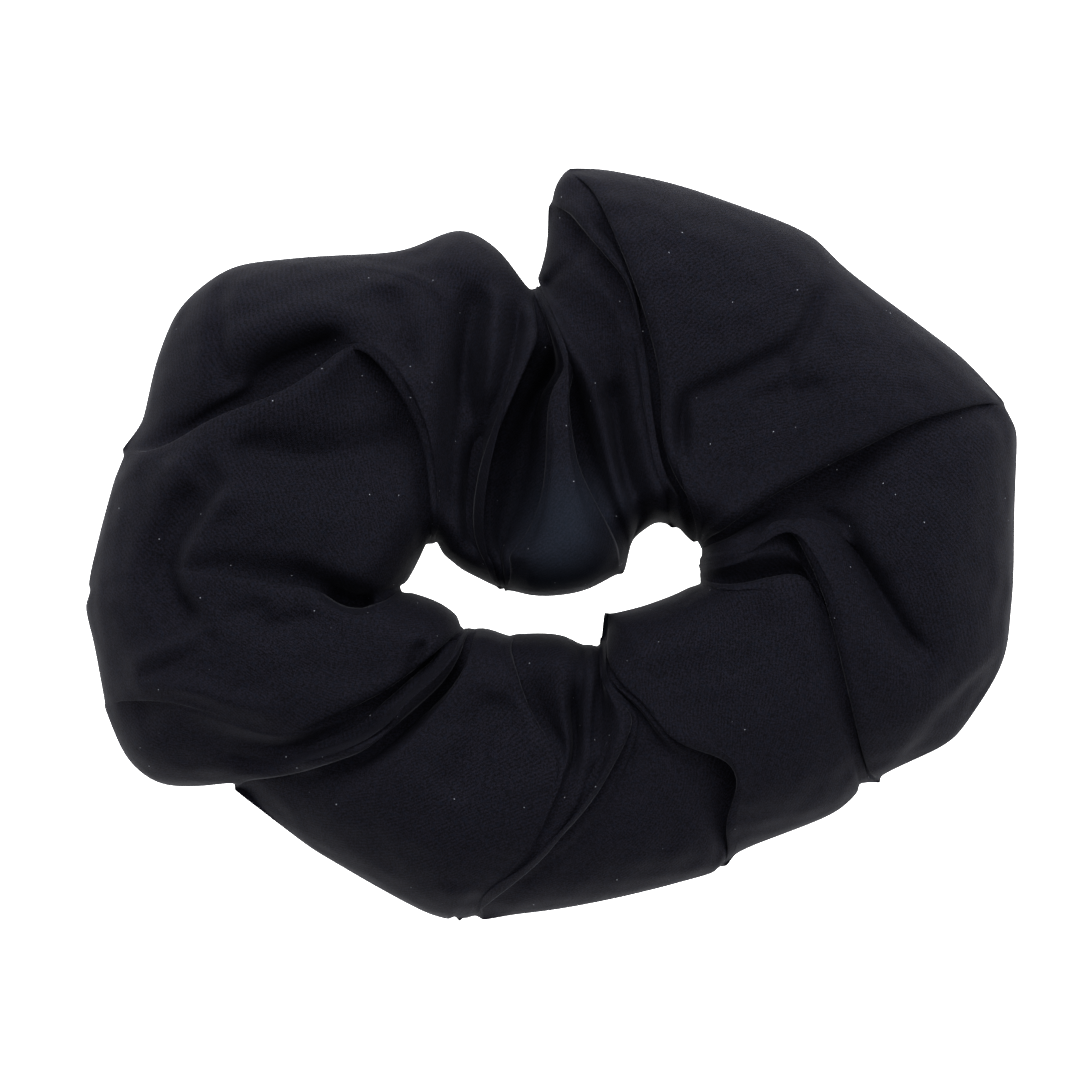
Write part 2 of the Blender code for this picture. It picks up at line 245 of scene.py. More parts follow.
    PlainLine("shelf_c", ((16.9, -5.4), (20.7, -11.5), (24.3, -18.1), (26.7, -24.7), (28.9, -34.2)),
        rises=0.3),
    PlainLine("shelf_d", ((15.1, -6.4), (18.1, -13.3), (21.4, -19.3), (24.1, -24.7), (24.8, -29.5),
        (24.3, -35.9)), rises=0.3),
    PlainLine("shelf_e", ((10.9, -7.8), (12.7, -13.3), (16.3, -19.3), (20.7, -24.1), (23.1, -29.5),
        (22.3, -37)), rises=0.2),
    FoldLine("shelf_edge", ((7, -8.4), (6.5, -12.1), (6.8, -14.5), (8.7, -17.3), (11.3, -19.4),
        (14.2, -23.3), (17.5, -25.2), (21.4, -26.8), (21.9, -28.9), (20.5, -33.4), (20.9, -38.6)),
        laps=(-0.8, -0.8, -0.8, -0.6, -0.5, -0.6, -1.2, -2.5, -3.5, -3.5, -2),
        gaps=(0.3, 0.4, 0.3, 0.2, 0.2, 0.3, 1, 2.4, 3, 2, 0.5)),
    PlainLine("window_a", ((6.8, -9.4), (6.5, -12.7), (6.8, -15.4), (8.6, -17.8), (11.1, -20.2),
        (13.9, -24.7), (16.9, -29.5), (18.5, -34.3), (19.7, -39.4)),
        rises=(-0.3, -0.6, -1, -1.4, -1.8, -2.6, -2.5, -2, 0)),
    PlainLine("window_b", ((6.7, -9.8), (6.5, -13.2), (6.8, -15.8), (8.5, -18.2), (10.9, -21.4),
        (12.3, -28.3), (12.1, -35.5), (10.9, -41.8)), rises=(-0.3, -0.6, -1, -1.6, -2.2, -2.5, -1.5, 0)),
    PlainLine("window_c", ((6.5, -10.3), (6.5, -13.7), (6.8, -16.3), (8.2, -18.5), (10.6, -22.6),
        (9.1, -30.7), (4.9, -37.9), (1.3, -43.8)), rises=(-0.3, -0.6, -1.1, -1.7, -2.4, -2.5, -1.5, 0)),
    PlainLine("window_d", ((6.5, -10.8), (6.4, -14.2), (6.8, -16.8), (8.1, -18.7), (10.1, -23.8),
        (6.8, -31.7), (0.3, -38.8), (-4.5, -44.4)), rises=(-0.3, -0.6, -1.1, -1.8, -2.4, -2.5, -1.5, 0)),
    FoldLine("flap_edge", ((6.4, -11.3), (6.4, -15.4), (7, -17.3), (8.7, -18.6), (10.6, -20.2),
        (10.4, -22.6), (8.5, -26.5), (6.3, -30.4), (3.1, -34.3), (-2.1, -39.5), (-6.5, -42.1),
        (-8.3, -44.8)), laps=(0, 0, 0.5, 1, 2, 2.5, 2.5, 2.5, 2, 2, 2, 1.5)),
    PlainLine("flap", ((6.3, -11.6), (6.3, -15.7), (7.1, -18.7), (8.2, -21.4), (7.6, -25), (6.3, -28.3),
        (4, -32.2), (-0.5, -37.3), (-8.9, -44.5)), rises=(0, -0.5, 0, 0.2, 0.2, 0, 0, 0, 0)),
    PlainLine("rib_valley_right", ((5.8, -12), (6.2, -15.4), (6.1, -18.1), (5.7, -22.3), (5.3, -26.5),
        (4.3, -30.7), (1.5, -34.9), (-1.7, -38.9), (-9.3, -44.6)),
        rises=(-1, -2.5, -4, -3.5, -3, -2, -1, -0.5, 0), crisp=True),
    PlainLine("rib", ((4.9, -12), (4.7, -17.5), (4.4, -23.5), (3.9, -28.3), (2.2, -32.2), (-0.5, -36.7),
        (-9.7, -44.8)), rises=(0, 1, 1, 1, 0.5, 0.2, 0), crisp=True),
    PlainLine("rib_valley_left", ((4.1, -11.8), (3.5, -16.9), (3.1, -20.2), (3.3, -24.1), (1.9, -29.5),
        (-0.8, -34.6), (-3.3, -39.4), (-10, -44.8)), rises=(-1, -3, -5, -4, -2, -1, -0.5, 0), crisp=True),
    PlainLine("wedge", ((1.3, -10.7), (1.5, -16.3), (2.1, -21.1), (2.5, -25), (0.8, -29.8), (-1.9, -35.3),
        (-10.5, -44.9)), rises=(0, -0.5, -1, -1, -0.5, 0, 0)),
    FoldLine("front_edge", ((-4.4, -11), (-3.5, -14.2), (-2.1, -18.7), (-0.5, -21.7), (1, -24.5),
        (1.3, -27.7), (-0.5, -31.9), (-3.3, -37.3), (-11, -44.9)), laps=(2.5, 3, 3, 2.5, 1, 0.3, 0, 0, 0),
        gaps=(1, 1.5, 2, 2.5, 2, 1, 0, 0, 0)),
    PlainLine("front_a", ((-5.6, -11), (-4.7, -18.7), (-3.5, -25.9), (-5.9, -34.3), (-11.9, -44.9)),
        rises=0.2),
    PlainLine("front_b", ((-6.9, -10.4), (-8.3, -17.5), (-9.8, -25.9), (-12.5, -34.3), (-14.9, -44.2))),
    PlainLine("front_c", ((-7.9, -10.2), (-10.1, -16.3), (-14.3, -24.7), (-18.5, -33.1), (-21.5, -40.6))),
    PlainLine("front_d", ((-8.7, -10.1), (-11, -16.3), (-17.3, -24.1), (-23.9, -30.7), (-28.7, -36.5)),
        rises=-0.2),
    FoldLine("bead_edge", ((-9.4, -10.2), (-9.8, -12.7), (-11.3, -15.7), (-13.1, -17.9), (-16.1, -20.6),
        (-21.5, -25.1), (-25.1, -26.6), (-29.9, -28.1), (-34.5, -28.9), (-37.7, -29)),
        laps=(2, 3, 3, 3.5, 3.5, 3.5, 3.5, 3, 2.5, 1.5), gaps=(1, 2, 3, 3, 2, 1.5, 1.5, 1, 0.5, 0)),
    PlainLine("bead", ((-9.8, -10.2), (-11, -13.3), (-13.7, -16.3), (-17.7, -19.4), (-19.7, -22.3),
        (-25.1, -25), (-31.1, -26.5), (-36.5, -26.9), (-41.3, -29)),
        rises=(0, 0.6, 0.8, 1, 1, 1, 0.8, 0.2, 0)),
    PlainLine("bead_valley", ((-10, -10.2), (-11.9, -13.3), (-14.9, -15.8), (-18.4, -19.1), (-22.5, -22),
        (-29.3, -24.5), (-36.5, -25.3), (-43.1, -25.3), (-47.3, -29.2)),
        rises=(0, -1, -1.5, -2.5, -2.8, -2.6, -2, -0.6, 0)),
    PlainLine("lobe_under", ((-10.3, -10.2), (-12.2, -13), (-15.3, -15.5), (-18.8, -18.7), (-23.3, -21),
        (-28.1, -23.2), (-32.3, -24.5), (-37.1, -23.8), (-43.7, -22.7), (-51.1, -25.3)),
        rises=(0, -1.5, -2.5, -3, -3, -3, -2.6, -2.2, -1.2, 0)),
    FoldLine("lobe_edge", ((-10.4, -10.2), (-11.7, -12.1), (-14.3, -14.4), (-16.7, -16.3), (-19.7, -18.4),
        (-23.9, -20.4), (-27.5, -21.5), (-31.7, -22.9), (-37.1, -21.6), (-42.5, -19.8), (-47.9, -19.1),
        (-53.3, -19.2)), laps=(2, 2.5, 3, 3, 2.5, 1.5, 0.6, 0.2, 0.2, 0.4, 0.8, 0.8),
        gaps=(1, 2, 2.5, 2.5, 2, 1.5, 1, 0.8, 0.6, 0.6, 0.6, 0.4)),
    PlainLine("lobe_a", ((-11.2, -8.8), (-14.3, -12.5), (-17.9, -14.9), (-24.5, -17.5), (-32.3, -19.3),
        (-40.7, -18.1), (-47.9, -17.3), (-53.6, -16.3)), rises=0.3),
    PlainLine("lobe_b", ((-13.1, -7.4), (-16.1, -11.5), (-21.5, -14.5), (-29.9, -15.7), (-38.3, -14.9),
        (-46.7, -13.3), (-54.2, -12.1)), rises=0.5),
    PlainLine("lobe_c", ((-15.5, -6.5), (-19.1, -9.7), (-26.3, -11.5), (-34.7, -10.9), (-43.1, -10.1),
        (-55.1, -8.9)), rises=0.5),
    PlainLine("lobe_d", ((-17, -5.9), (-21.5, -8.2), (-27.5, -8.2), (-34.7, -6.7), (-41.3, -5.8),
        (-47.9, -6.1), (-55.5, -7.1)), rises=0.2),
)

CREASES = (
    Crease("crown crease", ((-39.5, 32.3), (-39.7, 23.9), (-38.8, 19.9), (-38.1, 17.6)), depth=-1.5,
        width=0.55),
    Crease("arch pocket", ((-36.4, 19), (-33.8, 21.4), (-30.5, 23), (-27.3, 24.2), (-24.7, 24.4)),
        depth=-2.5, width=1.2),
    Crease("arch valley", ((-19.7, 31.1), (-18.9, 28.1), (-17.9, 25.1), (-17, 22.7), (-16.1, 20.3)),
        depth=-1.6, width=2),
    Crease("left panel valley", ((-38.9, 11.9), (-34.7, 10.9), (-27.5, 10.3), (-21.5, 11), (-17.9, 12.5),
        (-15.5, 13.7)), depth=-1.8, width=2.8),
    Crease("left panel ridge", ((-46.7, 10.1), (-41.9, 7.1), (-37.1, 4.1)), depth=0.8, width=1.5),
    Crease("nose", ((-40.5, -9.4), (-42.9, -6.7), (-44.3, -2.9), (-42.4, 1.7), (-40.1, 5.3), (-37.4, 7.9)),
        depth=-2, width=0.7, one_sided=True),
    Crease("eye", ((-26.8, -5.6), (-23.9, -6.8), (-21.1, -6.7)), depth=-3.5, width=0.9),
    Crease("lobe dimple upper", ((-38.9, -8.9), (-36.5, -8.2), (-33.5, -7.3)), depth=-1.1, width=0.8),
    Crease("lobe dimple lower", ((-36.5, -10.6), (-34.1, -10), (-31.1, -9.4), (-28.1, -8.4)), depth=-1.1,
        width=0.8),
    Crease("lobe ridge left", ((-50.9, -15.1), (-47.9, -13.9), (-44.3, -12.5), (-41.3, -10.9)), depth=0.8,
        width=1),
    Crease("lobe valley left", ((-50.3, -16.1), (-46.1, -14.5), (-41.9, -12.1), (-38.9, -11.2)), depth=-0.8,
        width=0.8),
    Crease("lobe ridge low", ((-51.8, -17.5), (-47.9, -16.7), (-44.3, -17.2), (-41.9, -17.8), (-38.3, -19),
        (-34.7, -19.7), (-31.1, -19.9)), depth=0.8, width=1),
    Crease("tuck", ((-14.9, -11.5), (-15.9, -13.3), (-16.7, -16)), depth=-1.3, width=0.6),
    Crease("bead crest", ((-9.5, -11.5), (-11.9, -13.9), (-14.3, -16.3), (-16.7, -18.7), (-17.9, -20.5),
        (-19.1, -22.1), (-21.5, -23.9), (-25.1, -25.3), (-28.7, -26.3), (-32.3, -26.9)), depth=1, width=0.8),
    Crease("bead valley", ((-18.5, -20.2), (-19.7, -21.4), (-22.7, -22.9), (-26.3, -24.1), (-29.9, -25.6),
        (-33.5, -26.3), (-37.1, -25.9), (-40.1, -24.7)), depth=-1.2, width=1.1),
    Crease("front valley", ((-5.9, -17.5), (-9.5, -25.9), (-12.5, -30.7)), depth=-0.8, width=2.5),
    Crease("fan crease", ((34.6, 32), (32.2, 29.3), (31, 26.6), (29.1, 23.6), (25.9, 21.8), (20.5, 19.3),
        (16.9, 17.5), (16, 16.1), (15.9, 13.7), (16, 11.3), (16.9, 8.9)), depth=-1.9, width=0.8),
    Crease("fan crease branch", ((28.9, 23.3), (28.5, 21.5), (28.5, 19.7), (28.9, 18.1)), depth=-1,
        width=0.5),
    Crease("fan dip", ((23.5, 17.6), (28.9, 17.9), (31.3, 18.5), (33.7, 19.3)), depth=-0.9, width=1.3),
    Crease("gather valley left", ((-7.4, 32.6), (-8.3, 30.5), (-9.2, 27.8), (-9.9, 24.5), (-10.5, 20.9),
        (-11, 16.1), (-11.6, 11.3), (-11.9, 6.5), (-11.3, 1.7)), depth=-2.3, width=1.7),
    Crease("gather valley right", ((-4.1, 30.5), (-3.9, 27.1), (-4.4, 23.5), (-5.5, 19.3), (-6.8, 15.8),
        (-8.2, 11.9), (-9.2, 7.7), (-9.4, 3.5), (-8.7, -0.7), (-7.6, -3.1)), depth=-2.3, width=1.2),
    Crease("gather ridge", ((-6.1, 31.7), (-6.4, 28.1), (-6.9, 24.5), (-7.6, 20.3), (-8.6, 16.1)),
        depth=0.8, width=1.2),
    Crease("corner line", ((-1, 30.1), (0.7, 32.3), (2.5, 33.8), (4.3, 35.3)), depth=-0.8, width=0.5),
    Crease("neck tuck", ((14.5, 6.5), (13.9, 4.1)), depth=-0.8, width=0.5),
    Crease("side valley", ((30.1, 5.3), (32.5, 3.8), (34.9, 2.5), (36.1, 0.5), (37.3, -1.6), (38.5, -3.7),
        (39.9, -6.1), (42.7, -10.7), (45.1, -13), (46.9, -13.9)), depth=-1.6, width=0.9),
    Crease("rim flap", ((54.1, -12.7), (50.5, -16), (46.9, -19.4), (44.2, -22.6), (41.2, -26.5)), depth=-1,
        width=0.7, one_sided=True),
    Crease("neck crease", ((7, 19.7), (7.7, 14.9), (8.2, 10.7), (8.9, 7.7), (10.1, 5.3)), depth=-1.5,
        width=1.1),
    Crease("rib crease left", ((4.1, -11.5), (3.9, -14.9), (3.5, -17.8), (2.9, -20.4), (3.2, -24.1),
        (2.6, -27.7)), depth=-1.8, width=0.5),
    Crease("rib crease right", ((6.3, -11.5), (6.2, -14.9), (6.1, -18.1), (5.7, -21.7), (5.3, -25.3)),
        depth=-1.8, width=0.55),
)


def smooth_route(points: Array, per_span: int = 12) -> Array:
    """Points along a Catmull-Rom curve through the given points.

    Each span is the cubic whose end slopes are half the difference of the neighbours on both sides.

    Args:
        points: (n, k) control points.
        per_span: how many points are read from each span.

    Returns:
        (m, k) points, ends included.
    """
    padded = np.vstack([2 * points[0] - points[1], points, 2 * points[-1] - points[-2]])
    t = np.linspace(0.0, 1.0, per_span, endpoint=False)[None, :, None]
    before, here = padded[:-3, None], padded[1:-2, None]
    after, beyond = padded[2:-1, None], padded[3:, None]
    curve = 0.5 * (
        2 * here
        + (after - before) * t
        + (2 * before - 5 * here + 4 * after - beyond) * t**2
        + (3 * here - before - 3 * after + beyond) * t**3
    )
    return np.vstack([curve.reshape(-1, points.shape[1]), points[-1:]])


def resample(curve: Array, shares: Array) -> Array:
    """Points at given shares of a curve's length, which is measured on its first two columns.

    Args:
        curve: (n, k) points.
        shares: (m,) shares of the length, from 0 to 1.

    Returns:
        (m, k) points.
    """
    steps = np.linalg.norm(np.diff(curve[:, :2], axis=0), axis=1)
    along = np.concatenate([[0.0], np.cumsum(steps)])
    along /= along[-1]
    return np.stack([np.interp(shares, along, column) for column in curve.T], axis=1)


def distance_to(points: Array, route: Array) -> tuple[Array, Array, Array]:
    """How far each point lies from a route of straight spans, seen from above.

    Args:
        points: (n, 2) places.
        route: (m, 2) corners of the route.

    Returns:
        The distances, the share of the route's length at the nearest place, and on which side each point
        lies: 1 to the right of the route's direction and -1 to the left.
    """
    start, span = route[:-1], np.diff(route, axis=0)
    length2 = np.maximum((span**2).sum(axis=1), 1e-12)
    lengths = np.sqrt(length2)
    before = np.concatenate([[0.0], np.cumsum(lengths)])
    best = np.full(len(points), np.inf)
    share = np.zeros(len(points))
    side = np.ones(len(points))
    for k in range(len(span)):
        offset = points - start[k]
        t = np.clip((offset @ span[k]) / length2[k], 0.0, 1.0)
        away = offset - t[:, None] * span[k]
        found = (away**2).sum(axis=1)
        nearer = found < best
        best = np.where(nearer, found, best)
        share = np.where(nearer, (before[k] + t * lengths[k]) / before[-1], share)
        cross = span[k, 0] * offset[:, 1] - span[k, 1] * offset[:, 0]
        side = np.where(nearer, np.where(cross > 0, -1.0, 1.0), side)
    return np.sqrt(best), share, side


def smoothstep(x: Array) -> Array:
    """0 below 0, 1 above 1, and an even S between."""
    x = np.clip(x, 0.0, 1.0)
    return x * x * (3 - 2 * x)


def smooth_round(grid: Array, passes: int, freedom: Array) -> Array:
    """The grid with each point drawn towards the mean of its neighbours along the ring.

    Args:
        grid: (rows, columns, 3) points, whose first axis closes on itself.
        passes: how many times it is done.
        freedom: for each point, the share of the way, from 0 to 1, that a pass may move it.

    Returns:
        The smoothed grid.
    """
    share = 0.5 * freedom[..., None]
    for _ in range(passes):
        mean = 0.5 * (np.roll(grid, 1, axis=0) + np.roll(grid, -1, axis=0))
        grid = grid + share * (mean - grid)
    return grid


def smooth_across(grid: Array, passes: int) -> Array:
    """The grid with each point but the strip's edges drawn towards its neighbours across the strip.

    Args:
        grid: (rows, columns, 3) points.
        passes: how many times half of each point is replaced by its two neighbours' mean.

    Returns:
        The smoothed grid.
    """
    for _ in range(passes):
        moved = grid.copy()
        moved[:, 1:-1] = 0.5 * grid[:, 1:-1] + 0.25 * (grid[:, 2:] + grid[:, :-2])
        grid = moved
    return grid


def ripples(points: Array, seed: int, waves: int, shortest: float, longest: float) -> Array:
    """Gentle irregular waves: a sum of sine waves of seeded directions, lengths and phases.

    Args:
        points: (..., 3) places in mm.
        seed: of the random draw.
        waves: how many waves are added.
        shortest: shortest wavelength in mm.
        longest: longest wavelength in mm.

    Returns:
        Values of about unit spread, in the shape of points without its last axis.
    """
    draw = np.random.default_rng(seed)
    total = np.zeros(points.shape[:-1])
    for _ in range(waves):
        direction = draw.normal(size=3)
        direction /= np.linalg.norm(direction)
        wavelength = math.exp(draw.uniform(math.log(shortest), math.log(longest)))
        phase = draw.uniform(0, 2 * math.pi)
        total += np.sin(points @ direction * (2 * math.pi / wavelength) + phase)
    return total * math.sqrt(2 / waves)


def new_mesh_object(name: str, points: Array, faces: Array) -> bpy.types.Object:
    """A smooth-shaded mesh object from points and faces of equal size.

    Args:
        name: of the mesh and of the object.
        points: (n, 3) places in mm.
        faces: (m, corners) point numbers.

    Returns:
        The object, linked to the scene.
    """
    mesh = bpy.data.meshes.new(name)
    mesh.vertices.add(len(points))
    mesh.vertices.foreach_set("co", (points * MM).astype(np.float32).ravel())
    corners = faces.shape[1]
    mesh.loops.add(faces.size)
    mesh.loops.foreach_set("vertex_index", faces.astype(np.int32).ravel())
    mesh.polygons.add(len(faces))
    mesh.polygons.foreach_set("loop_start", np.arange(0, faces.size, corners, dtype=np.int32))
    mesh.polygons.foreach_set("use_smooth", np.ones(len(faces), dtype=bool))
    mesh.update(calc_edges=True)
    mesh.validate()
    obj = bpy.data.objects.new(name, mesh)
    bpy.context.scene.collection.objects.link(obj)
    return obj


def grid_faces(rows: int, columns: int, rows_close: bool, columns_close: bool) -> Array:
    """The quads of a grid of points numbered row by row.

    Each quad goes one row on and then one column on, so with rows running clockwise seen from above and
    columns running outward on the top, it faces up.

    Args:
        rows: points round the ring or along the tube.
        columns: points across the strip or round the tube.
        rows_close: whether the last row joins the first.
        columns_close: whether the last column joins the first.

    Returns:
        (n, 4) point numbers.
    """
    i = np.arange(rows if rows_close else rows - 1)[:, None]
    j = np.arange(columns if columns_close else columns - 1)[None, :]
    i_next, j_next = (i + 1) % rows, (j + 1) % columns
    corners = [i * columns + j, i_next * columns + j, i_next * columns + j_next, i * columns + j_next]
    return np.stack([np.broadcast_to(c, (i.size, j.size)) for c in corners], axis=-1).reshape(-1, 4)


def linear(code: str) -> tuple[float, float, float, float]:
    """An sRGB hex colour as linear RGBA."""
    values = [int(code[k : k + 2], 16) / 255 for k in (1, 3, 5)]
    return (*[v / 12.92 if v <= 0.04045 else ((v + 0.055) / 1.055) ** 2.4 for v in values], 1.0)


def add_node(
    tree: bpy.types.NodeTree, kind: str, settings: dict | None = None, **inputs: object
) -> bpy.types.Node:
    """Adds a node, sets its properties, and sets or links its inputs.

    Args:
        tree: the material's node tree.
        kind: the node's type name.
        settings: properties of the node.
        inputs: values or output sockets by input name, with _ for a space, or by position as i0, i1.

    Returns:
        The node.
    """
    node = tree.nodes.new(kind)
    for key, value in (settings or {}).items():
        setattr(node, key, value)
    for key, value in inputs.items():
        positional = key[0] == "i" and key[1:].isdigit()
        socket = node.inputs[int(key[1:]) if positional else key.replace("_", " ")]
        if isinstance(value, bpy.types.NodeSocket):
            tree.links.new(value, socket)
        else:
            socket.default_value = value
    return node


@dataclass
class Cover:
    """The gathered cover: one strip of cloth, sewn into a tube and closed into a ring."""

    rim_height: float = 9.5
    crown_height: float = 24.5
    outer_rise: float = 15.0  # distance from the rim over which the top swells to its full height
    inner_rise: float = 5.5  # the same from the hair opening
    rim_swell: float = 0.2  # makes up for what smoothing takes off the outline
    outer_tuck: float = 7.0  # how far the side curls in under the rim
    inner_tuck: float = 4.0
    roll: float = 0.85  # radius of a rolled edge
    lift: float = 0.3  # how far a rolled edge stands above the soft form
    drop: float = 1.0  # how far the layer under it lies below, plus a share of the lap
    drop_share: float = 0.3
    full_lap: float = 1.2  # the lap from which a fold is rolled fully
    run_out: float = 0.16  # spacing of a fold's lines where its lap has run out
    lap_fade: float = 0.05  # share of a line at each end over which its lap grows from nothing
    gap_fade: float = 0.08  # the same for its gap
    tuck_in: float = 1.0  # how far a fold's hidden layers stay back from the rim and the hair opening
    tuck_fade: float = 0.06  # share of a line at each end over which they do
    turn_out: float = 0.6  # share of a height that turns outward towards an edge
    spacing: float = 0.62  # of the grid
    most_between: int = 16  # rows between two neighbouring lines
    top_steps: int = 80
    side_steps: int = 14
    floor_steps: int = 14
    allowance: float = 5.0  # width of the seam allowance, which stands up inside the tube
    allowance_steps: int = 4
    closing_at: float = -1.5  # where the ring's closing seam meets the left rim, from the middle upward
    round_passes: int = 15  # of smoothing along the ring
    across_passes: int = 5
    sharp_freedom: float = 0.08  # how far smoothing may move a sharp line
    sharp_rows: int = 6  # rows beside it over which smoothing takes hold again
    hidden_steps: int = 9  # columns at a fold's ends where its layers are smoothed together
    hidden_freedom: float = 0.5  # how far smoothing may move them there
    even_rows: int = 60  # passes that even out which way the walls face
    wall_reach: int = 12  # columns from an edge that say which way its wall faces
    press: float = 1.7  # makes up for what smoothing takes off a crease
    press_height: float = 5.0  # above the rim, over which creases fade in
    press_fade: float = 0.15  # share of a crease's length at each end over which it fades
    dent_reach: float = 4.0  # widths of a crease within which its dent counts
    step_reach: float = 8.0  # the same for a one-sided crease
    step_width: float = 6.0  # widths over which a one-sided crease dies away
    last_passes: int = 2  # of smoothing along the ring once the creases are pressed
    last_freedom: float = 0.6
    ripple: float = 0.12  # height of the cloth's small unevenness
    ripple_seed: int = 7
    ripple_waves: int = 40
    ripple_shortest: float = 3.0
    ripple_longest: float = 14.0
    seam_every: int = 3  # rows from one point of the long seam's route to the next
    clearance: float = 0.05  # above the table
    shares: Array = field(init=False)
    fold_starts: list[int] = field(init=False, default_factory=list)
    crisp_starts: list[int] = field(init=False, default_factory=list)

    def __post_init__(self) -> None:
        """Works out the shares of a line at which its points are read, closer together at both ends."""
        self.shares = 0.5 - 0.5 * np.cos(np.pi * np.linspace(0.0, 1.0, self.top_steps))

    def column(self, line: PlainLine) -> tuple[Array, Array, Array, Array]:
        """Reads a line at the cover's shares.

        Args:
            line: the line or fold.

        Returns:
            Its smooth route, its rise, its lap and its gap.
        """
        route = np.array(line.route, dtype=float)
        rises = np.broadcast_to(np.array(line.rises, dtype=float), len(route))
        laps = np.array(line.laps if isinstance(line, FoldLine) else np.zeros(len(route)), dtype=float)
        gap = line.gaps if isinstance(line, FoldLine) else 0.0
        gaps = np.broadcast_to(np.array(gap, dtype=float), len(route))
        read = resample(smooth_route(np.column_stack([route, rises, laps, gaps])), self.shares)
        return read[:, :2], read[:, 2], read[:, 3], np.maximum(read[:, 4], 0.0)

    def lines(self) -> tuple[Array, Array]:
        """Every line of the cloth, with each fold opened into the FOLD_LINES lines that its roll needs.

        A fold goes, in order: over the crest, round the rolled edge, back under it by the lap, round
        the hidden turn, and forward again as the lower layer. Where the far side lies on top, the same
        lines come in the opposite order, mirrored. As the lap runs out, all of them draw together into
        plain cloth.

        Returns:
            (lines, steps, 2) places and (lines, steps) heights above the soft form.
        """
        places: list[Array] = []
        heights: list[Array] = []
        flat = self.run_out * (np.arange(FOLD_LINES) - FOLD_LINES // 2)[:, None]
        for line in LINES:
            route, rise, lap, gap = self.column(line)
            if not isinstance(line, FoldLine):
                if line.crisp:
                    self.crisp_starts.append(len(places))
                places.append(route)
                heights.append(rise)
                continue
            self.fold_starts += range(len(places), len(places) + FOLD_LINES)
            tangent = np.gradient(route, axis=0)
            tangent /= np.maximum(np.linalg.norm(tangent, axis=1, keepdims=True), 1e-9)
            clockwise = np.column_stack([tangent[:, 1], -tangent[:, 0]])
            from_end = np.minimum(self.shares, 1 - self.shares)
            reach = np.abs(lap) * smoothstep(from_end / self.lap_fade)
            gap = gap * smoothstep(from_end / self.gap_fade)
            strength = smoothstep(reach / self.full_lap)
            end = 1 - smoothstep(from_end / self.tuck_fade)
            toward_end = np.where(self.shares > 0.5, 1.0, -1.0)[:, None] * tangent
            pulled = route - (self.tuck_in * end * strength)[:, None] * toward_end
            roll = np.minimum(self.roll, reach / 2)
            upper = self.lift * np.ones_like(reach)
            lower = -(self.drop + self.drop_share * reach)
            across = np.stack(
                [-2 * roll, 0 * roll, -roll, -reach, -reach - roll, -reach, 0.6 * self.roll + 0 * roll]
            )
            high = np.stack(
                [
                    upper,
                    upper - roll,
                    upper - 2 * roll,
                    lower + 1.2 * roll,
                    lower + 0.6 * roll,
                    lower,
                    lower,
                ]
            )
            behind = lap > 0
            across = np.where(behind, -across[::-1], across)
            high = np.where(behind, high[::-1], high)
            sinks = np.array([0.0, 0.0, 0.1, 0.4, 0.6, 0.8, 1.0])[:, None]
            high = high - gap * np.where(behind, sinks[::-1], sinks)
            across = strength * across + (1 - strength) * flat
            high = strength * high + rise
            under = np.array([0.0, 0.0, 0.6, 1.0, 1.0, 1.0, 0.4])[:, None, None]
            under = np.where(behind[None, :, None], under[::-1], under)
            line_at = route[None] * (1 - under) + pulled[None] * under
            places += list(line_at + across[..., None] * clockwise[None])
            heights += list(high)
        return np.array(places), np.array(heights)

    def between(self, places: Array, heights: Array) -> tuple[Array, Array, Array, Array]:
        """Fills in points between neighbouring lines, evenly, about one spacing apart.

        Args:
            places: (lines, steps, 2) places.
            heights: (lines, steps) heights above the soft form.

        Returns:
            The places and heights of all rows, how many rows each is from the nearest line that is to stay
            sharp, or infinity past sharp_rows, and which rows belong to a fold.
        """
        following = np.roll(places, -1, axis=0)
        gaps = np.linalg.norm(following - places, axis=2)
        apart = 0.5 * (gaps.mean(axis=1) + gaps.max(axis=1))
        counts = np.clip(np.round(apart / self.spacing).astype(int), 1, self.most_between)
        starts = np.repeat(np.arange(len(places)), counts)
        first = np.concatenate([[0], np.cumsum(counts)[:-1]])
        t = (np.arange(len(starts)) - first[starts]) / counts[starts]
        nexts = (starts + 1) % len(places)
        place = places[starts] * (1 - t)[:, None, None] + places[nexts] * t[:, None, None]
        height = heights[starts] * (1 - t)[:, None] + heights[nexts] * t[:, None]
        folded = np.isin(starts, self.fold_starts) | np.isin(nexts, self.fold_starts)
        kept = folded | np.isin(starts, self.crisp_starts)
        away = np.where(kept, 0.0, np.inf)
        for _ in range(self.sharp_rows):
            away = np.minimum(away, 1 + np.minimum(np.roll(away, 1), np.roll(away, -1)))
        return place, height, away, folded

    def outlines(self) -> tuple[Array, Array]:
        """The closed inner and outer outline through the ends of all lines, seen from above."""
        inner = np.array([line.route[0] for line in LINES])
        outer = np.array([line.route[-1] for line in LINES])
        return np.vstack([inner, inner[:1]]), np.vstack([outer, outer[:1]])

